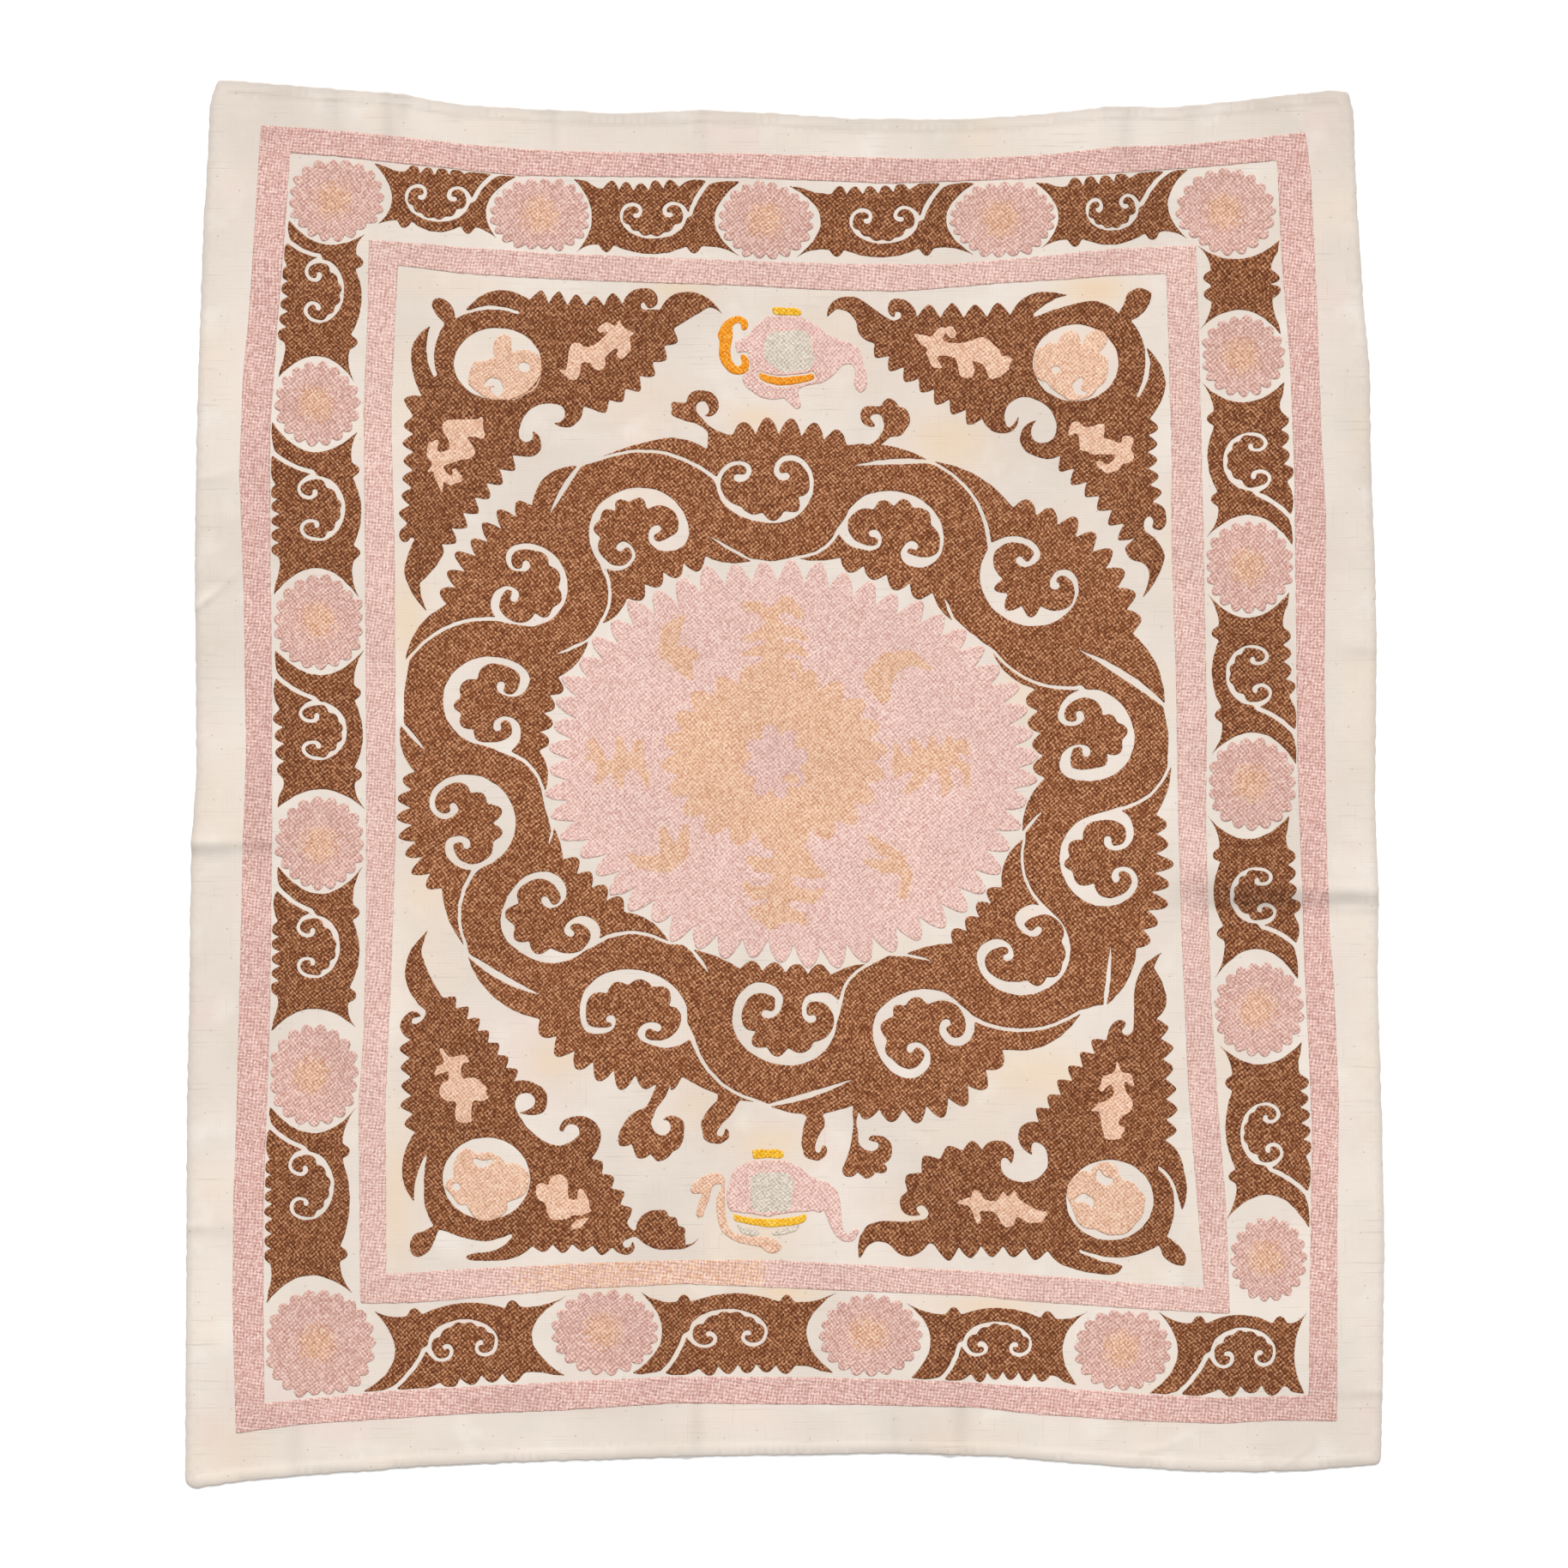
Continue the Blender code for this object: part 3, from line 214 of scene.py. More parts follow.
# The leaf panels of the border. along runs the way of the clock, out towards the edge of the cloth.
# start_ and end_ are the horned ends, leaf is the tip before the slit, all measured from its spiral.
# The last row is the short panel at the upper right. It has no spiral, and two lobes on each side.
SIDES = {
    "top": ((1, 0), (0, -1)),
    "right": ((0, 1), (1, 0)),
    "bottom": ((-1, 0), (0, 1)),
    "left": ((0, -1), (-1, 0)),
}
PANEL = (
    "side", "x", "y", "lean", "start_out", "start_dip", "start_in", "end_out", "end_dip", "end_in", "leaf",
    "out", "in", "crest", "vine", "half_long", "half_high", "lobes",
)
PANELS = (
    ("top", 507, 235, -5.4, -75, -50, -81, 92, 60, 86, 63, 38, 46, 39, 34, 38, 22, 4),
    ("top", 759, 255, -1.0, -91, -69, -87, 103, 74, 104, 64, 45, 42, 41, 40, 39, 22, 5),
    ("top", 1028, 261, 0.8, -108, -71, -101, 109, 75, 107, 69, 46, 38, 43, 38, 40, 22, 5),
    ("top", 1295, 247, 4.8, -85, -61, -89, 94, 67, 87, 66, 42, 39, 41, 37, 31, 21, 4),
    ("right", 1455, 536, 2.7, -89, -67, -96, 102, 64, 88, 66, 47, 53, 48, 46, 34, 28, 4),
    ("right", 1457, 785, 2.2, -93, -65, -98, 108, 69, 92, 68, 50, 48, 48, 43, 35, 27, 4),
    ("right", 1462, 1042, 3.0, -89, -64, -95, 102, 64, 96, 60, 46, 51, 49, 46, 33, 27, 4),
    ("right", 1472, 1320, 2.2, -104, -79, -104, 114, 73, 100, 71, 50, 47, 53, 42, 37, 25, 5),
    ("bottom", 1452, 1573, 0.0, -69, -57, -73, 113, 79, 102, 75, 52, 45, 50, 39, 38, 24, 3),
    ("bottom", 1166, 1563, -2.5, -92, -73, -102, 102, 81, 112, 63, 48, 40, 44, 37, 40, 21, 5),
    ("bottom", 852, 1550, 0.0, -120, -88, -124, 115, 80, 105, 77, 51, 44, 49, 41, 46, 23, 5),
    ("bottom", 542, 1563, 4.5, -113, -78, -123, 123, 82, 103, 84, 50, 43, 50, 43, 41, 24, 4),
    ("left", 361, 1385, -1.2, -136, -102, -122, 94, 64, 96, 68, 48, 53, 51, 46, 40, 27, 7),
    ("left", 369, 1106, -2.5, -99, -70, -90, 94, 64, 99, 66, 49, 50, 50, 49, 37, 26, 5),
    ("left", 375, 854, 0.5, -88, -66, -91, 97, 67, 97, 64, 53, 51, 52, 47, 34, 28, 4),
    ("left", 373, 595, 0.5, -98, -67, -103, 104, 68, 92, 65, 55, 45, 55, 47, 38, 28, 5),
    ("left", 376, 342, -4.0, -102, -73, -101, 83, 57, 73, 56, 45, 45, 47, 45, 37, 24, 5),
    ("right", 1447, 333, 1.0, -53, -31, -48, 58, 28, 51, 0, 46, 51, 42, 44, 0, 0, 2),
)
BUMP_DEEP = 9

# The vine round the medallion: fourteen scrolls clockwise, in turn on the outer and inner side of the stem.
# turn is the way from the stem to the leaf, in degrees with 90 up. tip and next are the leaf's two ends,
# teeth its scalloped crest, slit the inner end of the second slit, stem a place on the stem after the leaf.
UNIT = (
    "side", "x", "y", "turn", "tip", "tip_bulge", "teeth", "crest", "count", "end", "end_bulge", "next",
    "slit", "slit_bulge", "stem",
)
UNITS = (
    (1, 892, 569, 92, (702, 532), 9, (854, 507), 17, 5, (987, 519), 8, (1081, 536), (995, 543), 9,
     (1085, 541)),
    (-1, 1041, 618, 251, (931, 651), 3, (980, 650), 3, 4, (1087, 690), 4, (1111, 724), (1101, 697), 3,
     (1132, 738)),
    (1, 1199, 678, 55, (1089, 538), 11, (1181, 592), 43, 8, (1320, 738), 10, (1358, 820), (1257, 757), 14,
     (1363, 858)),
    (-1, 1278, 855, 190, (1157, 760), 8, (1207, 803), 3, 4, (1219, 907), 8, (1192, 970), (1215, 945), 3,
     (1194, 974)),
    (1, 1281, 1000, 11, (1365, 893), 5, (1347, 950), 20, 7, (1325, 1105), 8, (1290, 1172), (1295, 1102), 5,
     (1281, 1170)),
    (-1, 1195, 1108, 128, (1193, 978), 9, (1168, 1035), 0, 4, (1111, 1100), 3, (1057, 1112), (1087, 1120),
     2, (1034, 1114)),
    (1, 1070, 1206, -50, (1260, 1181), 17, (1168, 1223), 43, 7, (995, 1288), 10, (898, 1290), (995, 1258),
     10, (890, 1284)),
    (-1, 916, 1194, 86, (1010, 1124), 3, (968, 1137), 3, 4, (863, 1130), 3, (808, 1107), (827, 1135), 4,
     (795, 1100)),
    (1, 737, 1174, 258, (880, 1285), 5, (795, 1255), 35, 7, (630, 1188), 16, (545, 1115), (630, 1160), 14,
     (545, 1108)),
    (-1, 640, 1069, 41, (780, 1098), 8, (727, 1063), 0, 4, (656, 1002), 2, (646, 965), (640, 985), 2,
     (636, 945)),
    (1, 548, 958, 198, (541, 1102), 6, (515, 1035), 29, 7, (484, 900), 7, (467, 845), (497, 875), 4,
     (471, 805)),
    (-1, 566, 818, -5, (635, 922), 7, (628, 875), -2, 4, (650, 790), 6, (686, 747), (648, 763), 4,
     (692, 738)),
    (1, 618, 681, 163, (473, 770), 11, (521, 705), 23, 7, (620, 590), 15, (673, 543), (641, 600), 8,
     (688, 540)),
    (-1, 746, 618, -55, (702, 727), 5, (731, 697), -3, 4, (822, 648), 5, (876, 654), (827, 625), 4,
     (905, 655)),
)
TOOTH_HIGH = 13.0
# The palmettes of the vine's scrolls, in their own directions with p towards the slit and q to the leaf.
# Columns: the opening's left, right, lowest place and slit; the left curl's and the right curl's top, near
# side and lowest place with the line's width at its side, top and near side; the notches of the fan, each
# after the first with the bulge of the lobe before it.
PALMETTES = (
    ((-57, 56, -12, -41, 56, 15), (-29, 38, -11, 20, -22, 8, 5, 7, 6), (30, 33, 15, 22, 29, 8, 4, 5, 6),
     ((-38, -11), (-21, -27, 12), (4, -28, 11), (28, -20, 6))),
    ((-62, 57, -5, -46, 58, 24), (-33, 33, -17, 20, -27, 4, 4, 13, 7), (28, 33, 8, 20, 18, 6, 4, 6, 4),
     ((-40, -20), (-14, -32, 9), (8, -26, 10), (29, -15, 10))),
    ((-59, 60, 3, -51, 61, 12), (-35, 38, -19, 24, -26, 9, 3, 8, 6), (24, 41, 5, 30, 20, 9, 8, 8, 8),
     ((-28, -15), (-10, -27, 14), (12, -25, 16), (26, -14, 14))),
    ((-54, 52, -5, -44, 54, 10), (-33, 49, -9, 27, -18, 10, 14, 14, 3), (27, 41, 13, 24, 22, 10, 8, 8, 5),
     ((-25, -8), (-13, -28, 10), (8, -26, 10), (19, -11, 6))),
    ((-58, 50, -2, -46, 49, 36), (-32, 40, -15, 22, -25, 10, 9, 7, 5), (25, 46, 4, 26, 16, 9, 7, 9, 6),
     ((-28, -11), (-9, -33, 10), (8, -33, 8), (24, -14, 10))),
    ((-57, 54, 3, -52, 46, 31), (-35, 36, -10, 16, -19, 1, 8, 12, 5), (22, 41, 10, 25, 24, 4, 3, 15, 8),
     ((-19, -29), (1, -40, 9), (24, -39, 7), (39, -18, 5))),
    ((-52, 60, -8, -52, 60, 31), (-25, 39, -2, 20, -15, 2, 11, 11, 6), (38, 44, 19, 25, 32, 6, 3, 10, 9),
     ((-31, -18), (-8, -34, 12), (10, -35, 9), (31, -19, 10))),
    ((-63, 59, 3, -48, 60, 32), (-32, 47, -5, 27, -22, 5, 11, 13, 9), (35, 39, 17, 22, 28, 3, 3, 10, 6),
     ((-34, -10), (-20, -28, 13), (5, -27, 11), (34, -18, 10))),
    ((-60, 66, 3, -44, 74, 22), (-42, 40, -15, 24, -20, 14, 7, 8, 3), (30, 38, 12, 28, 31, 12, 7, 5, 9),
     ((-32, -9), (-10, -24, 9), (18, -28, 8), (42, -10, 12))),
    ((-54, 57, -10, -55, 57, 27), (-23, 40, -2, 20, -15, 4, 7, 11, 3), (42, 38, 19, 14, 28, 1, 2.5, 13, 5),
     ((-35, -16), (-18, -37, 14), (6, -36, 11), (28, -22, 12))),
    ((-57, 55, 2, -53, 54, 15), (-30, 39, -11, 22, -20, 8, 8, 6, 7), (27, 39, 10, 26, 22, 7, 6, 11, 9),
     ((-31, -11), (-14, -25, 8), (10, -24, 15), (30, -18, 12))),
    ((-53, 51, -2, -50, 55, 34), (-30, 49, -8, 29, -18, 11, 8, 11, 3), (31, 44, 15, 26, 26, 11, 4, 10, 5),
     ((-25, -11), (-2, -29, 11), (16, -27, 9), (33, -11, 9))),
    ((-46, 50, 5, -45, 48, 27), (-26, 37, -10, 22, -18, 6, 7, 7, 3), (30, 38, 9, 22, 18, 8, 3, 10, 4),
     ((-27, -14), (-6, -32, 8), (18, -33, 8), (30, -15, 9))),
    ((-54, 61, 12, -53, 58, 14), (-30, 44, -1, 20, -15, 5, 9, 17, 7), (35, 27, 18, 13, 28, -2, 9, 4, 4),
     ((-21, -15), (-8, -34, 10), (11, -34, 10), (31, -36, 8), (42, -20, 8))),
)
# The leaf panels' palmette, as the vine's but in shares of its half lengths, with its smaller eyes.
PANEL_PALMETTE = (
    (-0.94, 1.06, 0.06, -1.05, 1.12, 0.35),
    (-0.56, 0.86, -0.26, 0.42, -0.42, 0.02, 4, 4.5, 4),
    (0.68, 0.95, 0.34, 0.45, 0.54, 0.08, 4, 4, 4.5),
    ((-0.64, -0.3), (-0.36, -0.62, 4), (0.0, -0.8, 4), (0.36, -0.7, 4), (0.68, -0.26, 4)),
)
PANEL_EYE = 3.3
HOOK_EYE = 5.0
# A curl that starts lower than LOW_CURL eyes rises upright, and a higher one in a bow. FAN_BULGE is how far
# the fan's two ends stand out, in eyes too.
LOW_CURL = 1.2
CURL_BOW = 0.15
FAN_BULGE = 1.2
# The slits: their width, the step at their foot, their depth at the leaf, and how they bow, swell and ease.
SLIT_WIDE = 4.5
SLIT_STEP = 3.0
SLIT_MOUTH = 4.0
SLIT_BOW = 0.14
SLIT_SWELL = 0.35
SLIT_EASE = 1.5
CREST_RISE = 5.0
# Lobes: how much lower their rail lies, as a share of their height, how round teeth and crest lobes are, how
# much deeper the crest is in its middle, and how uneven they are.
LOBE_LOW = 0.3
TOOTH_POINT = 1.45
CREST_POINT = 2.0
CREST_EXTRA = 8.0
LOBE_UNEVEN = 0.3
LOBE_SPAN = 7.0
PANEL_LOBE = 11.0

# The small sprigs that grow out of the vine, by strokes from the first foot to the second.
SPRIGS = (
    ((788, 511), (824, 524, 3), (826, 505, 0), (806, 492, -2), (783, 484, 1), (785, 477, 2), (784, 468, 3),
     (800, 470, 0), (816, 455, 5), (838, 474, 7), (821, 485, 5), (826, 473, -3), (812, 471, -5),
     (818, 487, -3), (845, 505, -3)),
    ((1010, 519), (1026, 508, -2), (1027, 484, -4), (1014, 488, -4), (1021, 497, 1), (1003, 486, 5),
     (1016, 473, 5), (1027, 474, 0), (1037, 464, 2), (1048, 475, 2), (1058, 480, 2), (1057, 499, 4),
     (1038, 509, 4), (1026, 520, 0)),
    ((1002, 1296), (1001, 1322, -3), (1016, 1342, -7), (1024, 1332, -4), (1012, 1329, 0), (1022, 1324, 3),
     (1040, 1342, 6), (1030, 1357, 3), (1033, 1366, 3), (1020, 1366, 2), (1008, 1374, 3), (1000, 1366, 0),
     (986, 1372, 3), (982, 1362, 2), (994, 1320, -2), (994, 1297, -1)),
    ((958, 1300), (961, 1314, 2), (950, 1338, -2), (952, 1344, -1), (957, 1342, -1), (959, 1335, 0),
     (964, 1339, 2), (960, 1349, 2), (948, 1352, 3), (936, 1340, 4), (935, 1322, 1), (941, 1303, 1)),
    ((858, 1290), (847, 1305, 1), (836, 1319, -1), (838, 1325, -2), (844, 1322, -1), (846, 1315, 0),
     (850, 1321, 1), (846, 1330, 2), (832, 1333, 2), (819, 1318, 5), (822, 1300, 3), (836, 1283, 1)),
    ((781, 1264), (768, 1288, 2), (762, 1302, -1), (764, 1320, -4), (781, 1318, -5), (776, 1305, -3),
     (772, 1306, 0), (785, 1301, 2), (797, 1320, 6), (784, 1343, 5), (766, 1354, 3), (758, 1345, 0),
     (742, 1350, 3), (736, 1333, 0), (722, 1336, 2), (726, 1312, 3), (752, 1292, 4), (766, 1264, -1)),
)
# The medallion's teeth are as long as given, or shorter where the vine is near. Their shares of the length
# are where the search starts and its step, and TEETH_CLEAR is how far they stay from the vine.
MEDALLION = {"x": 916, "y": 890, "half_wide": 281, "half_long": 233, "teeth": 54, "deep": 27, "turn": 2}
TEETH_FROM = 0.7
CLIP_FROM = 0.75
TOOTH_STEP = 0.003
TOOTH_ROUND = 0.9
TEETH_GROW = 1.05
TEETH_CLEAR = 2.2

# Outlines by strokes, clockwise on the layout: a bow stands out by bulge to the left of its way,
# and lobes are a row of count round lobes, high each, along such a bow. Columns: x, y, bulge, count, high.
# A corner spray has its disc first. Columns of the disc: x, y, half_wide, half_long.
SPRAYS = {
    "corner_spray_upper_left": (
        (580, 424, 51, 42),
        ((543, 361), (618, 350, 17), (726, 355, 0, 5, 15), (750, 336, 6), (767, 349, 5), (757, 360, 3),
         (752, 354, 1), (747, 353, -2), (750, 361, -2), (770, 361, 0), (803, 340, 7), (842, 366, 6),
         (826, 358, -2), (785, 383, 0), (690, 477, 15, 6, 13), (680, 473, 0), (664, 498, 5), (645, 493, 2),
         (658, 487, -2), (650, 471, -4), (605, 502, -13), (614, 516, -4), (621, 502, -4), (631, 519, 3),
         (618, 532, 4), (597, 530, 1), (514, 634, 1, 6, 15), (516, 648, 2), (489, 679, 2), (498, 713, -2),
         (471, 667, 4), (484, 628, 2), (478, 626, 0), (471, 632, 2), (466, 619, 3), (476, 610, 0),
         (482, 485, 1, 6, 13), (470, 466, 0), (492, 462, 3), (479, 414, 3), (502, 380, 6), (498, 396, -1),
         (506, 440, -4), (510, 438, 0), (519, 377, 8), (503, 356, 2), (516, 348, 4), (531, 371, 4),
         (570, 361, 2), (604, 367, 2), (606, 363, 0), (573, 356, -1), (545, 362, -1))),
    "corner_spray_upper_right": (
        (1254, 423, 50, 45),
        ((964, 370), (979, 347, 5), (1007, 351, 3), (1040, 374, -1), (1050, 371, -1), (1044, 363, -4),
         (1043, 370, 0), (1035, 361, 2), (1050, 348, 6), (1069, 370, 5), (1178, 368, 3, 4, 16),
         (1215, 340, 7), (1245, 344, 1), (1225, 351, -1), (1204, 367, -1), (1206, 370, 0), (1268, 351, 2),
         (1304, 366, 5), (1314, 343, -1), (1343, 342, 7), (1318, 374, 6), (1335, 412, 4), (1324, 463, 4),
         (1328, 463, 0), (1341, 424, -3), (1336, 405, -1), (1359, 446, 5), (1340, 488, 4),
         (1343, 585, 0, 5, 12), (1360, 603, 5), (1353, 618, 3), (1342, 614, 1), (1345, 606, -1),
         (1334, 607, -5), (1335, 620, -1), (1358, 648, 4), (1332, 697, 4), (1340, 671, -1), (1330, 655, -3),
         (1311, 638, 5), (1324, 627, 0), (1237, 531, 2, 6, 15), (1205, 531, 4), (1189, 512, 4),
         (1209, 490, 6), (1202, 503, -2), (1214, 517, -4), (1232, 494, -7), (1208, 466, -5),
         (1175, 472, -6), (1175, 499, -4), (1188, 485, -2), (1173, 505, 5), (1145, 488, 6),
         (1020, 400, 8, 7, 14), (1000, 386, 3), (975, 360, -8))),
    "corner_spray_lower_right": (
        (1294, 1399, 51, 47),
        ((1355, 1110), (1345, 1128, -1), (1360, 1162, 2), (1348, 1188, 4), (1358, 1329, 9, 6, 14),
         (1380, 1366, 6), (1378, 1411, 5), (1371, 1387, 0), (1350, 1359, -4), (1350, 1363, 0),
         (1369, 1400, 5), (1360, 1442, 3), (1380, 1460, 2), (1380, 1476, 3), (1356, 1464, 3),
         (1351, 1451, 0), (1300, 1466, 4), (1258, 1456, 2), (1258, 1460, 0), (1285, 1471, 0),
         (1309, 1476, 1), (1294, 1486, 3), (1241, 1476, 2), (1221, 1458, 2), (1092, 1456, -1, 5, 14),
         (1082, 1450, -3), (1038, 1452, 14), (1010, 1454, -6), (1002, 1468, 0), (1012, 1428, 6),
         (1040, 1424, 2), (1078, 1422, -1), (1082, 1412, -2), (1068, 1408, -5), (1074, 1416, -2),
         (1052, 1411, 4), (1058, 1389, 6), (1122, 1342, 12, 3, 13), (1145, 1341, 0, 1, 13), (1163, 1330, 4),
         (1181, 1340, 3), (1179, 1357, 2), (1168, 1350, -3), (1172, 1371, -3), (1208, 1375, -5),
         (1221, 1345, -6), (1205, 1331, -4), (1204, 1347, -2), (1187, 1325, 4), (1200, 1308, 4),
         (1212, 1309, 1), (1290, 1213, 5, 6, 14), (1297, 1193, 1), (1313, 1193, 4), (1308, 1200, 1),
         (1312, 1207, -2), (1322, 1197, -3), (1322, 1160, 0), (1336, 1122, 3))),
    "corner_spray_lower_left": (
        (567, 1374, 51, 48),
        ((499, 1084), (491, 1110, -1), (517, 1164, -3), (599, 1261, 9, 7, 12), (625, 1264, 3),
         (638, 1282, 4), (625, 1300, 5), (605, 1297, 1), (622, 1290, -1), (618, 1275, -4), (600, 1289, -7),
         (641, 1334, -6), (676, 1322, -6), (664, 1310, -4), (657, 1320, -2), (652, 1318, 0), (662, 1304, 3),
         (690, 1306, 4), (700, 1328, 4), (689, 1351, 2), (731, 1424, 6, 4, 11), (741, 1435, -3),
         (767, 1411, 8), (798, 1441, 5, 3, 5), (798, 1452, 1), (815, 1443, -2), (797, 1456, 2),
         (775, 1457, 0), (741, 1441, 4), (727, 1446, 0), (730, 1455, -3), (737, 1447, -3), (733, 1463, 5),
         (714, 1454, 3), (621, 1452, 0, 4, 10), (590, 1469, 3), (546, 1469, 1), (543, 1464, 1),
         (567, 1460, 1), (598, 1441, -4), (596, 1438, 0), (563, 1447, 2), (521, 1436, 2), (512, 1433, 0),
         (508, 1440, 0), (493, 1464, 3), (478, 1456, 5), (485, 1438, 3), (506, 1429, -1), (494, 1385, 4),
         (498, 1346, 1), (495, 1348, 0), (483, 1401, -4), (469, 1370, 3), (484, 1320, 5),
         (479, 1212, 6, 5, 13), (466, 1196, 3), (480, 1179, 3), (491, 1185, 2), (481, 1187, 0),
         (480, 1194, -1), (491, 1191, -1), (497, 1178, -1), (472, 1138, 5), (480, 1105, 2))),
}
# The disc flowers by strokes, their round eyes, and their open curls by chains of places with a half width.
# Columns of an eye: x, y, half_wide, half_long.
DISC_FLOWERS = {
    "disc_flower_upper_left": (((546, 448), (553, 421, 2), (577, 416, -2), (579, 394, 3), (595, 394, 4),
      (597, 412, 0), (628, 414, 5), (631, 438, 3), (612, 461, 5), (585, 466, 3), (562, 462, 2)),
     ((611, 428, 7, 6),), ((((566, 449, 2.5), (573, 444, 3), (580, 446, 3.5), (583, 454, 3.5),
        (580, 459, 3)), ((573, 453, 1.8), (576, 456, 2), (580, 459, 2.5))),)),
    "disc_flower_upper_right": (((1205, 418), (1216, 404, 3), (1233, 401, 3), (1242, 388, 2),
      (1258, 391, 4), (1263, 404, -1), (1271, 388, 3), (1288, 388, 5), (1288, 404, 3), (1280, 412, 0),
      (1292, 432, 5), (1279, 452, 4), (1262, 466, 3), (1238, 461, 4), (1220, 445, 2), (1206, 436, 3)),
     ((1231, 431, 6, 4),), ((((1260, 443, 3.5), (1255, 450, 4), (1256, 457, 3), (1266, 459, 2)),),)),
    "disc_flower_lower_right": (((1244, 1394), (1252, 1370, 4), (1272, 1368, 4), (1283, 1356, 3),
      (1302, 1362, 4), (1308, 1376, 0), (1328, 1388, 4), (1334, 1404, 4), (1324, 1426, 4), (1302, 1440, 4),
      (1276, 1432, 3), (1256, 1424, 4)), (), ((((1281, 1365, 2.5), (1282, 1373, 4), (1290, 1378, 4.5),
        (1297, 1376, 2)),), (((1254, 1400, 2.5), (1263, 1396, 4), (1271, 1400, 3.5), (1273, 1407, 2)),))),
    "disc_flower_lower_left": (((518, 1384), (530, 1372, 2), (532, 1350, 3), (545, 1338, 3), (556, 1346, 0),
      (576, 1346, 3), (590, 1358, 2), (610, 1362, 4), (616, 1380, 4), (602, 1398, 4), (590, 1402, 0),
      (584, 1418, 4), (556, 1422, 4), (544, 1404, 2), (530, 1398, 4)), ((532, 1384, 5, 5),),
     ((((554, 1353, 3), (559, 1357, 3.5), (567, 1357, 3), (573, 1353, 2)),),)),
}
# The two teapots: pieces by strokes, with the colour of the thread. The upper pot's body has a second
# outline, which leaves it open for its band.
POTS = (
    ("pot_upper_body", "rose", ((895, 368), (933, 369, 0), (965, 391, 2), (985, 398, 0), (1006, 422, 6),
      (1011, 446, 1), (1002, 458, 3), (996, 444, 2), (994, 425, -2), (978, 430, -3), (956, 447, 2),
      (931, 453, -1), (934, 474, -1), (927, 476, 2), (914, 464, 0), (876, 456, 5), (865, 441, 2),
      (876, 430, 2), (873, 412, 1), (860, 412, -2), (857, 398, 1), (872, 392, 0), (884, 378, 1)),
     ((884, 432), (910, 438, -1), (948, 433, -1), (951, 443, 2), (910, 451, 2), (884, 443, 2))),
    ("pot_lower_body", "rose", ((877, 1353), (913, 1353, 0), (943, 1371, 3), (962, 1378, 0), (980, 1404, 5),
      (982, 1430, 0), (990, 1438, -3), (997, 1431, -1), (1001, 1437, 2), (988, 1448, 3), (974, 1440, 2),
      (965, 1420, 1), (960, 1409, 1), (955, 1414, 1), (948, 1411, 0), (940, 1413, 0), (896, 1419, -2),
      (853, 1413, -1), (847, 1400, 1), (850, 1380, 1), (857, 1362, 1))),
    ("pot_upper_handle", "orange", ((841, 380), (858, 368, 2), (872, 376, 3), (869, 385, 2), (864, 383, 1),
      (861, 376, -2), (853, 383, -2), (854, 395, 1), (851, 408, 0), (855, 423, -1), (861, 427, -1),
      (865, 421, -2), (863, 415, 0), (867, 413, 2), (873, 424, 2), (863, 437, 4), (848, 431, 2),
      (838, 414, 2), (839, 397, 0), (837, 389, 1))),
    ("pot_upper_band", "orange", ((885, 434), (910, 440, -1), (947, 435, -1), (949, 442, 2), (910, 449, 2),
      (885, 441, 2))),
    ("pot_upper_lid", "yellow", ((900, 359), (916, 359, 1), (931, 360, 1), (932, 368, 3), (902, 367, 0))),
    ("pot_lower_band", "yellow", ((855, 1415), (896, 1421, -2), (939, 1415, -2), (936, 1426, 3),
      (896, 1431, 1), (856, 1423, 1))),
    ("pot_lower_lid", "yellow", ((877, 1341), (894, 1341, 1), (911, 1341, 1), (911, 1351, 3),
      (895, 1350, 0), (878, 1351, 0))),
    ("pot_lower_handle", "peach", ((845, 1374), (831, 1367, -2), (806, 1382, -2), (809, 1392, -3),
      (819, 1391, 0), (811, 1417, -1), (820, 1418, -2), (827, 1399, 1), (831, 1383, 1), (842, 1380, 1),
      (835, 1396, 1), (838, 1426, -1), (848, 1442, -2), (866, 1450, -1), (888, 1454, 0), (900, 1461, -2),
      (912, 1454, -2), (905, 1446, 0), (888, 1441, 0), (864, 1440, 1), (848, 1428, 3), (845, 1402, 1))),
)
# The half moons of pale thread under the lower pot's band.
HALF_MOONS = (
    ((858, 1427), (884, 1433, -1), (886, 1438, 0), (872, 1440, 2), (862, 1434, 2)),
    ((900, 1435), (932, 1427, -1), (922, 1437, 3), (901, 1440, 1)),
)

# The flower in the medallion and its core. Columns: x, y, half_wide, half_long, petals, turn, deep.
ROUND_FLOWERS = (
    ("medallion", "apricot", (903, 883, 132, 109, 22, 5, 19)),
    ("medallion", "core", (904, 889, 40, 44, 8, 12, 14)),
)
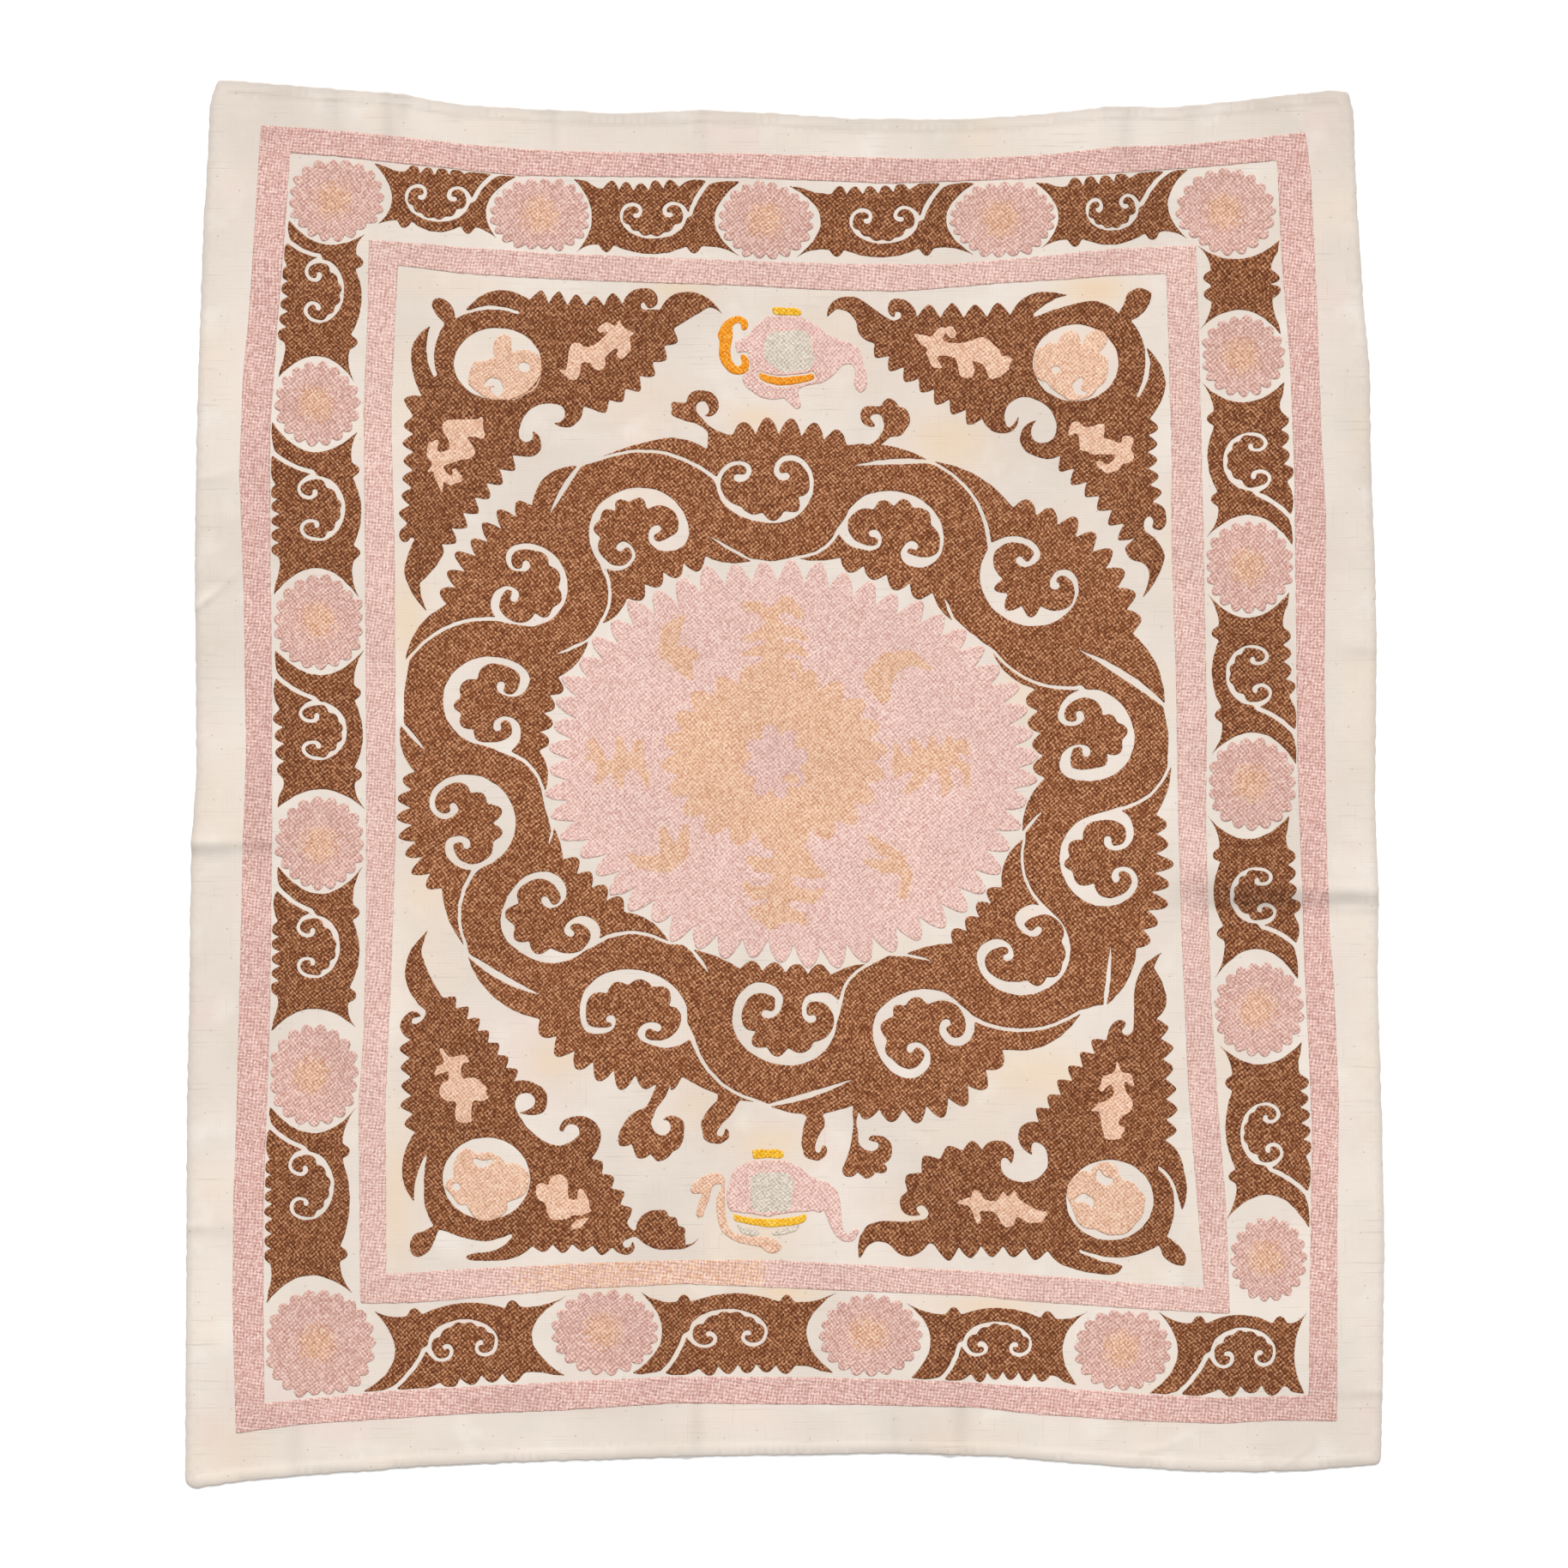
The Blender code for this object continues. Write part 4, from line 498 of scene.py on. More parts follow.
# Patches of another thread inside a stitched area, by brush strokes that run together. A stroke is a chain
# of places. Columns: x, y, half width.
MOTIFS = {
    "corner_spray_upper_left": (
        (((672, 407, 8), (668, 435, 8)), ((665, 437, 3), (652, 431, 1)), ((674, 414, 8), (694, 413, 9),
          (714, 397, 9), (722, 388, 8)), ((694, 413, 9), (698, 424, 8)), ((722, 386, 5), (722, 374, 1)),
         ((724, 388, 5), (739, 389, 1)), ((716, 386, 4), (708, 380, 4), (700, 384, 4)), ((726, 392, 8),
          (729, 405, 6), (724, 414, 5))),
        (((524, 498, 9), (552, 499, 10)), ((558, 494, 5), (562, 486, 1)), ((558, 503, 6), (561, 508, 4)),
         ((530, 505, 9), (538, 523, 12), (546, 527, 8)), ((510, 514, 2), (504, 521, 5), (504, 530, 6),
          (512, 536, 7), (530, 530, 8)), ((510, 540, 5), (512, 555, 5), (515, 574, 1)), ((506, 544, 3),
          (499, 550, 1)), ((516, 551, 3), (525, 561, 4), (534, 558, 4), (530, 549, 3)))),
    "corner_spray_upper_right": (
        (((1066, 389, 1), (1078, 397, 5), (1090, 402, 8)), ((1090, 398, 6), (1097, 386, 5)),
         ((1108, 385, 5), (1110, 389, 5)), ((1092, 405, 9), (1112, 408, 7), (1130, 408, 9), (1144, 408, 14),
          (1154, 414, 12)), ((1086, 412, 6), (1090, 424, 4), (1098, 429, 1)), ((1122, 412, 8),
          (1127, 432, 9)), ((1156, 418, 10), (1158, 435, 7)), ((1160, 421, 7), (1176, 420, 4)),
         ((1164, 432, 7), (1172, 428, 5))),
        (((1248, 505, 3), (1254, 497, 5), (1264, 504, 5)), ((1266, 507, 8), (1280, 503, 7), (1286, 495, 2)),
         ((1266, 514, 8), (1276, 519, 10), (1292, 521, 8), (1306, 523, 6)), ((1264, 522, 4),
          (1259, 524, 1)), ((1310, 526, 8), (1314, 532, 8)), ((1312, 522, 6), (1316, 514, 5),
          (1311, 511, 3)), ((1306, 534, 6), (1300, 543, 5), (1291, 547, 4), (1282, 541, 4)))),
    "corner_spray_lower_right": (
        (((1302, 1238, 1), (1303, 1250, 3), (1303, 1262, 6), (1306, 1276, 7)), ((1300, 1256, 5),
          (1290, 1259, 5), (1284, 1270, 3)), ((1306, 1254, 4), (1315, 1256, 4), (1321, 1265, 2)),
         ((1309, 1287, 12), (1303, 1290, 13)), ((1296, 1290, 8), (1284, 1290, 4), (1272, 1295, 1)),
         ((1294, 1298, 12), (1294, 1312, 9), (1296, 1320, 8)), ((1298, 1320, 5), (1308, 1317, 4)),
         ((1290, 1325, 3), (1304, 1325, 3))),
        (((1118, 1402, 2), (1130, 1401, 4), (1142, 1404, 6), (1160, 1407, 6)), ((1138, 1392, 5),
          (1142, 1400, 5)), ((1136, 1408, 4), (1140, 1420, 3), (1140, 1427, 1)), ((1172, 1408, 12),
          (1175, 1422, 9)), ((1168, 1402, 6), (1170, 1391, 2)), ((1181, 1403, 9), (1182, 1392, 3)),
         ((1186, 1408, 9), (1202, 1417, 8), (1212, 1418, 6), (1221, 1413, 1)))),
    "corner_spray_lower_left": (
        (((514, 1223, 2), (521, 1236, 3), (528, 1242, 6)), ((530, 1239, 7), (540, 1234, 4), (547, 1238, 1)),
         ((524, 1243, 4), (514, 1246, 4), (508, 1252, 2)), ((530, 1244, 7), (531, 1262, 8)),
         ((524, 1272, 12), (552, 1270, 12)), ((560, 1270, 7), (568, 1269, 1)), ((560, 1278, 6),
          (568, 1279, 2)), ((548, 1263, 7), (551, 1262, 6)), ((542, 1284, 9), (539, 1300, 9)),
         ((544, 1302, 6), (549, 1308, 1))),
        (((651, 1380, 11), (650, 1398, 12), (649, 1409, 12)), ((632, 1386, 7), (634, 1392, 8),
          (644, 1394, 9)), ((658, 1408, 9), (676, 1408, 9)), ((680, 1402, 7), (677, 1390, 4)),
         ((680, 1409, 6), (688, 1411, 2)), ((645, 1418, 4), (660, 1416, 5)), ((668, 1431, 3),
          (674, 1427, 4), (686, 1420, 1)))),
    "medallion": (
        (
            ((900, 792, 12), (902, 730, 9), (900, 712, 5)),
            ((905, 712, 5), (916, 703, 8), (932, 716, 6)),
            ((894, 718, 6), (884, 708, 6), (871, 706, 6)),
            ((906, 733, 7), (928, 738, 6), (940, 745, 3)),
            ((896, 734, 7), (880, 742, 5), (868, 744, 3)),
            ((904, 757, 7), (925, 755, 6), (938, 762, 4)),
            ((897, 758, 7), (880, 759, 5), (868, 763, 3)),
            ((910, 774, 8), (928, 776, 6), (934, 788, 5)),
            ((896, 776, 7), (884, 778, 5), (880, 788, 4))),
        (((916, 988, 13), (912, 1030, 11), (905, 1066, 13)), ((925, 984, 9), (941, 1002, 7)),
         ((920, 1010, 9), (945, 1015, 9), (958, 1020, 4)), ((906, 1010, 9), (885, 1008, 8), (874, 1002, 5)),
         ((902, 1038, 9), (880, 1042, 7), (868, 1031, 4)), ((920, 1040, 9), (945, 1046, 7), (958, 1039, 4)),
         ((898, 1064, 11), (882, 1064, 9)), ((912, 1064, 10), (934, 1070, 6), (938, 1076, 3)),
         ((896, 1074, 8), (900, 1078, 6))),
        (((690, 866, 6), (697, 880, 6), (704, 896, 6), (696, 913, 3)), ((722, 861, 4), (724, 880, 6),
          (722, 900, 7), (722, 915, 4)), ((745, 866, 5), (742, 884, 8), (752, 904, 5), (756, 916, 2)),
         ((704, 894, 6), (742, 888, 7)), ((684, 884, 3), (694, 883, 4))),
        (((1044, 870, 4), (1050, 890, 8), (1046, 902, 5)), ((1048, 892, 8), (1080, 888, 11),
          (1102, 881, 9)), ((1074, 882, 9), (1064, 864, 4)), ((1088, 880, 8), (1087, 859, 3)),
         ((1101, 882, 8), (1107, 861, 4)), ((1104, 880, 7), (1122, 868, 6), (1128, 878, 4)),
         ((1078, 896, 9), (1066, 914, 6), (1056, 924, 3)), ((1098, 892, 8), (1104, 914, 6), (1100, 925, 3)),
         ((1110, 886, 6), (1126, 895, 5), (1128, 915, 3))),
        (((796, 720, 4), (782, 736, 10), (779, 758, 11), (795, 772, 11), (804, 788, 5)), ((800, 762, 9),
          (813, 764, 4))),
        (((1084, 779, 3), (1060, 766, 8), (1036, 774, 13), (1024, 792, 16), (1030, 812, 8)),),
        (((733, 997, 3), (748, 1006, 7), (775, 1006, 11), (792, 996, 10)), ((774, 968, 5), (778, 990, 9)),
         ((799, 964, 4), (795, 990, 9))),
        (((1014, 977, 4), (1030, 990, 7), (1048, 1000, 6), (1058, 1024, 6), (1052, 1044, 5)),
         ((1010, 1004, 3), (1030, 1010, 7), (1045, 1012, 7))),
        (((914, 908, 3), (926, 908, 6)),)),
    "pot_upper_body": ((((905, 401, 14), (931, 398, 13), (936, 418, 13), (916, 420, 14),
       (905, 412, 14)),),),
    "pot_lower_body": ((((889, 1381, 14), (910, 1381, 14), (911, 1400, 12), (888, 1401, 12),
       (889, 1381, 14)),),),
}
# The thread of the patches, by the first word of their area.
MOTIF_THREADS = {"corner": "peach", "medallion": "apricot", "pot": "grey"}
# Brush strokes: how softly they run together, the step at which their outline is taken, and its margin.
STROKE_BLEND = 1.3
MOTIF_GRAIN = 1.7
MOTIF_MARGIN = 6.0

# How uneven hand work is: how far an outline drifts, and in what lengths. The seed makes it drift the same
# way in each run.
WOBBLE_SEED = 1
WOBBLE = 0.7
CLOTH_WOBBLE = 1.2
WOBBLE_SPAN = 9.0
# How a stitched sheet stands on the cloth: the gap under it, its least height, its grain, and the groove
# round a patch.
THREAD_GAP = 0.1
THREAD_LEAST = 0.2
GRAIN_HIGH = 0.14
GRAIN_SPAN = 14.0
GROOVE_DEEP = 0.35
GROOVE_WIDE = 1.2

# The colours of the threads as the eye reads them, 0 to 255: the dark, middle and light stitches of each.
THREADS = {
    "brown": ((66, 24, 6), (142, 82, 46), (234, 178, 134)),
    "rose": ((176, 126, 115), (222, 178, 168), (255, 229, 219)),
    "pink": ((189, 138, 128), (232, 192, 181), (255, 231, 221)),
    "peach": ((192, 136, 102), (232, 188, 160), (255, 230, 206)),
    "orange": ((204, 104, 8), (244, 152, 26), (255, 194, 90)),
    "yellow": ((212, 138, 16), (244, 186, 38), (255, 224, 120)),
    "grey": ((174, 162, 146), (217, 204, 188), (246, 235, 220)),
    "core": ((184, 134, 126), (226, 185, 174), (252, 224, 215)),
    "flower": ((174, 122, 110), (216, 172, 160), (252, 224, 212)),
    "bark": ((58, 18, 4), (133, 76, 42), (222, 166, 124)),
    "inner": ((182, 134, 124), (227, 187, 176), (254, 230, 220)),
    "apricot": ((190, 132, 96), (229, 182, 152), (254, 225, 199)),
    "amber": ((176, 118, 86), (222, 174, 146), (254, 224, 200)),
}
STITCH_TONES = ("dark", "middle", "light")
# Surfaces: roughness and sheen of each, and what they share.
THREAD_SURFACE = (0.82, 0.08)
CLOTH_SURFACE = (0.9, 0.05)
FLOOR_SURFACE = (0.95, 0.0)
SHEEN_ROUGHNESS = 0.5
SPECULAR = 0.2
# Bumps: strength, and how high they stand in metres.
THREAD_BUMP = (0.55, 0.0005)
CLOTH_BUMP = (0.35, 0.0003)

# The stitches: the slant of their rows, how the rows sway, how far apart they are in millimetres, the share
# of the rows and of the single stitches in the light, and how high the rows stand.
BAND_SLANT = 0.9
ROW_SLANT = 0.08
ROW_TURNS = 11.0
ROW_SWAY = 0.016
ROW_PITCH = 5.4
ROW_SHARE = 0.26
CELL_SHARE = 0.5
ROW_BUMP = 0.3
# A stitch's form across, along and up, how loose it lies, the light of its three colours, and the painted
# shade in the gap after it.
STITCH_FORM = (1.05, 0.95, 1.0)
STITCH_RANDOM = 0.75
STITCH_STOPS = (0.0, 0.5, 1.0)
STITCH_GAP = (0.38, 0.72)
GAP_SHADE = 0.3
SOFT_GAP_SHADE = 0.5
FIBRE_SCALE = 2600.0
FIBRE_BUMP = 0.25
# Where a second thread takes over from the first, and how loosely.
WARM_EDGE = (0.42, 0.58)
WARM_LOOSE = 0.7

# Stains on the cloth. Columns: colour, scale, low, high, share.
STAINS = (
    ((240, 214, 205), 9.0, 0.55, 0.72, 0.4),
    ((243, 222, 196), 6.0, 0.55, 0.75, 0.4),
    ((216, 214, 202), 12.0, 0.58, 0.78, 0.35),
    ((246, 238, 228), 16.0, 0.56, 0.74, 0.45),
)
# The grey slubs along and across the weave. Columns: scale, low, high, share.
SLUBS = (((14.0, 420.0, 1.0), 0.62, 0.74, 0.5), ((420.0, 18.0, 1.0), 0.64, 0.76, 0.3))
SLUB_TONE = (196, 186, 176)
# Soft spots where a fold shades the cloth and its thread. Columns: x, y, half_wide, half_long, share.
SHADES = (
    (1468, 1046, 62, 15, 0.3), (1580, 1044, 46, 8, 0.26), (1500, 1053, 120, 4, 0.14),
    (1400, 1034, 34, 16, 0.1), (244, 992, 50, 7, 0.2), (290, 986, 60, 4, 0.12), (300, 150, 80, 60, 0.05),
    (290, 1660, 90, 70, 0.07), (1545, 1645, 80, 70, 0.06), (1545, 150, 60, 60, 0.04),
    (452, 140, 9, 46, 0.12), (470, 124, 7, 26, 0.07), (1312, 146, 10, 40, 0.12), (1290, 132, 7, 24, 0.06),
    (646, 150, 7, 34, 0.09), (632, 140, 5, 24, 0.05), (392, 130, 9, 34, 0.07), (820, 146, 7, 30, 0.05),
    (1392, 136, 9, 30, 0.07), (812, 1660, 9, 44, 0.09), (1044, 1664, 8, 34, 0.06),
    (1120, 1656, 10, 46, 0.11), (344, 1686, 9, 40, 0.08), (1452, 1590, 66, 44, 0.06),
    (1312, 250, 38, 44, 0.08), (361, 1430, 46, 60, 0.05), (250, 676, 38, 8, 0.06), (252, 560, 34, 8, 0.05),
    (1586, 760, 32, 9, 0.06), (240, 1434, 34, 8, 0.08), (1575, 1624, 44, 8, 0.07),
    (1548, 640, 20, 60, 0.05), (300, 940, 18, 120, 0.04), (640, 1640, 90, 14, 0.05),
)
# Faint stains of orange dye on the cloth, with the same columns.
DYES = (
    (1106, 515, 46, 36, 0.75), (1276, 338, 40, 20, 1.0), (790, 334, 36, 18, 0.7), (880, 488, 36, 16, 0.7),
    (474, 726, 26, 60, 0.7), (900, 1330, 44, 20, 0.6), (896, 1410, 34, 60, 0.5), (1206, 1252, 52, 34, 0.6),
    (645, 1236, 34, 26, 0.6), (460, 1400, 24, 90, 0.6), (915, 1508, 40, 12, 0.9), (1150, 1522, 66, 12, 0.7),
    (960, 400, 60, 46, 0.3), (740, 460, 60, 30, 0.3), (500, 1040, 34, 60, 0.4), (816, 1290, 30, 26, 0.4),
    (1190, 800, 20, 60, 0.5), (1370, 620, 14, 60, 0.4), (520, 330, 60, 12, 0.3), (270, 1690, 40, 34, 0.4),
    (1060, 1420, 30, 30, 0.4), (700, 1500, 60, 20, 0.3),
)
SPOT_REACH = 6.0
DYE_TONE = (236, 206, 170)
DYE_SHARE = 0.8
# A painted shadow line along the edge of the cloth: how wide it is in millimetres, its colour and its share.
EDGE_SHADE_WIDE = 5.0
EDGE_SHADE_TONE = (186, 178, 170)
EDGE_SHADE_SHARE = 0.45
SPECK_TONE = (150, 128, 110)
SPECK_SHARE = 0.45
SPECK_SCALE = 22.0
SPECK_EDGE = (0.012, 0.028)
WEAVE_SCALE = 130.0

# The stage, in metres. Columns of a light: name, place, power, softness in degrees.
LIGHTS = (("key", (0.4, 3.4, 3.0), 2.15, 16.0), ("fill", (-1.5, -1.0, 4.0), 0.45, 60.0))
FLOOR_SIDE = 30.0
FLOOR_LOW = -0.0004
FLOOR_TONES = ((0.97, 0.97, 0.97), (0.99, 0.99, 0.99))
# The camera's sensor in millimetres, its height, and the height at which the photo's side is as given.
SENSOR = 36.0
CAMERA_HIGH = 4.5
EYE_LEVEL = 0.002


def on_cloth(x, y):
    """A layout place in millimetres on the cloth, from its middle and with y up."""
    return x - LAYOUT_CENTRE[0], LAYOUT_CENTRE[1] - y


def on_layout(x, y):
    """A place on the cloth as a layout place."""
    return x + LAYOUT_CENTRE[0], LAYOUT_CENTRE[1] - y


def in_metres(x, y, z):
    return x * MM, y * MM, z * MILLIMETRE


def round_pairs(loop):
    """Each item of a closed line with the one after it."""
    return zip(loop, loop[1:] + loop[:1])


def with_neighbours(loop):
    """Each place of a closed line between the one before it and the one after it."""
    return zip(loop[-1:] + loop[:-1], loop, loop[1:] + loop[:1])


def turning(loop):
    """Twice the area inside a loop, positive where it runs against the clock."""
    return sum(x0 * y1 - x1 * y0 for (x0, y0), (x1, y1) in round_pairs(loop))


def tree_of(places):
    tree = kdtree.KDTree(len(places))
    for i, (x, y) in enumerate(places):
        tree.insert((x, y, 0.0), i)
    tree.balance()
    return tree


def beside(start, end, share, high):
    """A place that is a share of the way from start to end, and high to the left of it."""
    (x0, y0), (x1, y1) = start, end
    run, fall = x1 - x0, y1 - y0
    lift = high / max(math.hypot(run, fall), TINY)
    return x0 + run * share + fall * lift, y0 + fall * share - run * lift


def bow(start, end, bulge=0.0, count=None):
    """Places after start on the way to end, along an arc that stands out to the left of the way."""
    count = count or max(1, round(math.dist(start, end) / CURVE_STEP))
    shares = [i / count for i in range(1, count + 1)]
    return [beside(start, end, share, 4.0 * bulge * share * (1.0 - share)) for share in shares]


def bows(start, *stops):
    """Places after start along one bow after another, each with its end and its bulge."""
    places = []
    for end, bulge in stops:
        places += bow(start, end, bulge)
        start = end
    return places


def lobes(start, end, bulge, count, high, extra=0.0, point=TOOTH_POINT):
    """A row of lobes along a bow, each standing out to the left of the way.

    In the middle of the row they are deeper by extra, and their rail bows less. A lower point makes them
    sharper.
    """
    rail = [start] + bow(start, end, bulge - extra - LOBE_LOW * high, count)
    places = []
    for number, (foot, next_foot) in enumerate(zip(rail, rail[1:])):
        tall = high + extra * math.sin(math.pi * (number + 0.5) / count)
        tall *= 1.0 + LOBE_UNEVEN * noise.noise(Vector((*foot, 0.0)) / LOBE_SPAN)
        for i in range(1, LOBE_PARTS + 1):
            share = i / LOBE_PARTS
            places.append(beside(foot, next_foot, share, tall * (1.0 - abs(2.0 * share - 1.0) ** point)))
    return places


def strokes(rows):
    """A closed outline from a table of strokes; the first row is its start."""
    places = [rows[0][:2]]
    for x, y, bulge, *row in rows[1:]:
        places += lobes(places[-1], (x, y), bulge, *row) if row else bow(places[-1], (x, y), bulge)
    return places


def motif(chains):
    """The outlines of brush strokes that run together, and of what they leave open, the largest first.

    Each stroke is a chain of places with its half width there.
    """
    pairs = [pair for chain in chains for pair in zip(chain, chain[1:])]
    rows = [row for chain in chains for row in chain]
    left, top = (min(row[axis] - row[2] for row in rows) - MOTIF_MARGIN for axis in (0, 1))
    right, low = (max(row[axis] + row[2] for row in rows) + MOTIF_MARGIN for axis in (0, 1))

    def inside(x, y):
        total = 0.0
        for (x0, y0, wide), (x1, y1, end_wide) in pairs:
            run, fall = x1 - x0, y1 - y0
            share = ((x - x0) * run + (y - y0) * fall) / max(run * run + fall * fall, 0.01)
            share = min(1.0, max(0.0, share))
            gap = math.dist((x, y), (x0 + share * run, y0 + share * fall))
            gap = gap - wide - share * (end_wide - wide)
            total += math.exp(-gap / STROKE_BLEND)
        return STROKE_BLEND * math.log(max(total, 1e-12))

    deep, links, spots = {}, {}, {}
    for i in range(math.ceil((right - left) / MOTIF_GRAIN)):
        for j in range(math.ceil((low - top) / MOTIF_GRAIN)):
            deep[i, j] = inside(left + i * MOTIF_GRAIN, top + j * MOTIF_GRAIN)

    def crossing(a, b):
        share = deep[a] / (deep[a] - deep[b])
        spots[min(a, b), max(a, b)] = (left + MOTIF_GRAIN * (a[0] + share * (b[0] - a[0])),
                                       top + MOTIF_GRAIN * (a[1] + share * (b[1] - a[1])))
        return min(a, b), max(a, b)

    for i, j in deep:
        if (i + 1, j + 1) in deep:
            for a, b, c in (((i, j), (i + 1, j), (i + 1, j + 1)), ((i, j), (i + 1, j + 1), (i, j + 1))):
                for a, b, c in ((a, b, c), (b, c, a), (c, a, b)):
                    if deep[a] > 0.0 >= max(deep[b], deep[c]):
                        links[crossing(a, b)] = crossing(a, c)
                    elif deep[a] <= 0.0 < min(deep[b], deep[c]):
                        links[crossing(a, c)] = crossing(a, b)
    loops = []
    while links:
        start, at = links.popitem()
        loop = [spots[start]]
        while at != start:
            loop.append(spots[at])
            at = links.pop(at)
        loops.append(loop)
    return sorted(loops, key=lambda loop: -abs(turning(loop)))


def notched(x, y, half_wide, half_long, count, turn, deep, power=1.0, reaches=None):
    """A flower's outline: rounded petals with sharp notches between them, deep mm inside their tips."""
    parts = 2 * LOBE_PARTS
    places = []
    for i in range(count * parts):
        share = i / parts
        angle = math.radians(turn + 360.0 * share / count)
        inset = deep * (1.0 - abs(math.cos(math.pi * share)) ** power)
        inset += UNEVEN * deep * noise.noise(Vector((round(share) * PETAL_SPAN, x, y)))
        reach = 1.0
        if reaches:
            low, part = int(share) % count, share % 1.0
            reach = reaches[low] * (1.0 - part) + reaches[(low + 1) % count] * part
        places.append((x + reach * (half_wide - inset) * math.cos(angle),
                       y - reach * (half_long - inset) * math.sin(angle)))
    return places


def reaches_of(x, y, half_wide, half_long, count, turn, around, clear):
    """How far each petal of a flower reaches, as a share, before it comes clear mm near the points around."""
    tree = tree_of(around)
    reaches = []
    for i in range(count):
        angle = math.radians(turn + 360.0 * i / count)
        reach = TEETH_FROM
        while reach < 1.0:
            tip = (x + (reach + TOOTH_STEP) * half_wide * math.cos(angle),
                   y - (reach + TOOTH_STEP) * half_long * math.sin(angle), 0.0)
            if tree.find(tip)[2] < clear:
                break
            reach += TOOTH_STEP
        reaches.append(reach)
    return reaches


def toothed(x, y, half_wide, half_long, teeth, deep, turn, vine):
    """The medallion's outline: pointed teeth that keep clear of the vine round it."""
    half_wide, half_long = half_wide * TEETH_GROW, half_long * TEETH_GROW
    vine = resampled(vine, VINE_STEP)
    reaches = reaches_of(x, y, half_wide, half_long, teeth, turn, vine, TEETH_CLEAR)
    tree, places = tree_of(vine), []
    for at_x, at_y in notched(x, y, half_wide, half_long, teeth, turn, deep, TOOTH_ROUND, reaches):
        share = CLIP_FROM
        while share < 1.0:
            if tree.find((x + share * (at_x - x), y + share * (at_y - y), 0.0))[2] < TEETH_CLEAR:
                break
            share += TOOTH_STEP
        places.append((x + share * (at_x - x), y + share * (at_y - y)))
    return places


def between_bands(side, x, y):
    """The place itself, or the nearest one that keeps clear of both bands on its side."""
    turn = list(SIDES).index(side)
    across = 1 - turn % 2
    along = 1 - across
    here, limits = (x, y)[along], []
    for line in FACING_LINES:
        rows = sorted(line[turn] + line[(turn + 1) % 4][:1], key=lambda row: row[along])
        for low, up in zip(rows, rows[1:]):
            if here <= up[along]:
                break
        share = min(1.0, max(0.0, (here - low[along]) / (up[along] - low[along])))
        limits.append(low[across] + share * (up[across] - low[across]))
    least, most = min(limits) + BAND_CLEAR, max(limits) - BAND_CLEAR
    if not rows[0][along] - CORNER_ROOM <= here <= rows[-1][along] + CORNER_ROOM:
        least, most = (least, math.inf) if turn in (0, 3) else (-math.inf, most)
    value = min(most, max(least, (x, y)[across]))
    return (value, y) if across == 0 else (x, value)


def ring_of(x, y, half_wide, half_long, count=RING_PARTS):
    return [(x + half_wide * math.cos(math.tau * i / count), y - half_long * math.sin(math.tau * i / count))
            for i in range(count)]


def quarter(start, end, upright):
    """Places after start on a quarter of an ellipse to end, that leaves start upright or level."""
    (x0, y0), (x1, y1) = start, end
    places = []
    for i in range(1, QUARTER_PARTS + 1):
        angle = 0.5 * math.pi * i / QUARTER_PARTS
        rise, run = math.sin(angle), 1.0 - math.cos(angle)
        share, climb = (run, rise) if upright else (rise, run)
        places.append((x0 + share * (x1 - x0), y0 + climb * (y1 - y0)))
    return places


def hook(start, row, side, eye):
    """A curl of the open line, from start over its top to its round eye and back to the palmette's side."""
    top, near, low = row[0:2], row[2:4], row[4:6]
    wide_side, wide_top, wide_near = row[6:]
    sign = 1 if near[0] > top[0] else -1
    if start[1] < LOW_CURL * eye:
        way = [start] + quarter(start, top, True)
    else:
        way = [start] + bow(start, top, CURL_BOW * math.dist(start, top))
    way += quarter(top, near, False) + quarter(near, low, True)
    end, head = (low[0] - sign * 1.5 * eye, low[1] + eye), (low[0] - sign * 0.7 * eye, low[1] + 2.0 * eye)
    way += quarter(low, end, False) + quarter(end, head, True)
    near, top = (near[0] - sign * wide_near, near[1]), (top[0], top[1] - wide_top)
    way += [(near[0] - sign * 0.5 * eye, head[1] - 0.3 * eye), (near[0], head[1] + 0.3 * eye)]
    side -= math.copysign(wide_side, side)
    return way + quarter(near, top, True) + quarter(top, (side, eye), False)


def palmette(row, eye=HOOK_EYE):
    """The open line round one palmette, in its own directions: p towards its slit, q towards its leaf.

    It runs from the stem side of the slit round the fan and back to the leaf side of the slit.
    """
    (left, right, low_p, low_q, slit_p, slit_q), left_curl, right_curl, fan = row
    gap = [(slit_p + SLIT_WIDE, slit_q - SLIT_STEP), (right, 0.6 * eye)]
    gap += quarter(gap[-1], (low_p, low_q), True) + quarter((low_p, low_q), (left, eye), False)[:-1]
    gap += hook((left, eye), left_curl, left, eye)
    gap += bow(gap[-1], fan[0][:2], FAN_BULGE * eye)
    for p, q, bulge in fan[1:]:
        gap += bow(gap[-1], (p, q), bulge, FAN_PARTS)
    back = hook((slit_p, slit_q), right_curl, right, eye)[::-1]
    return gap + bow(gap[-1], back[0], FAN_BULGE * eye)[:-1] + back


def sized(row, half_long, half_high):
    """A palmette's row, given as shares of its half lengths, in millimetres; its widths and bulges stay."""
    (left, right, low_p, low_q, slit_p, slit_q), *curls, fan = row
    outline = (left * half_long, right * half_long, low_p * half_long, low_q * half_high,
               slit_p * half_long, slit_q * half_high)
    curls = [tuple(value * (half_long, half_high)[i % 2] for i, value in enumerate(curl[:6])) + curl[6:]
             for curl in curls]
    return outline, *curls, [(p * half_long, q * half_high, *rest) for p, q, *rest in fan]


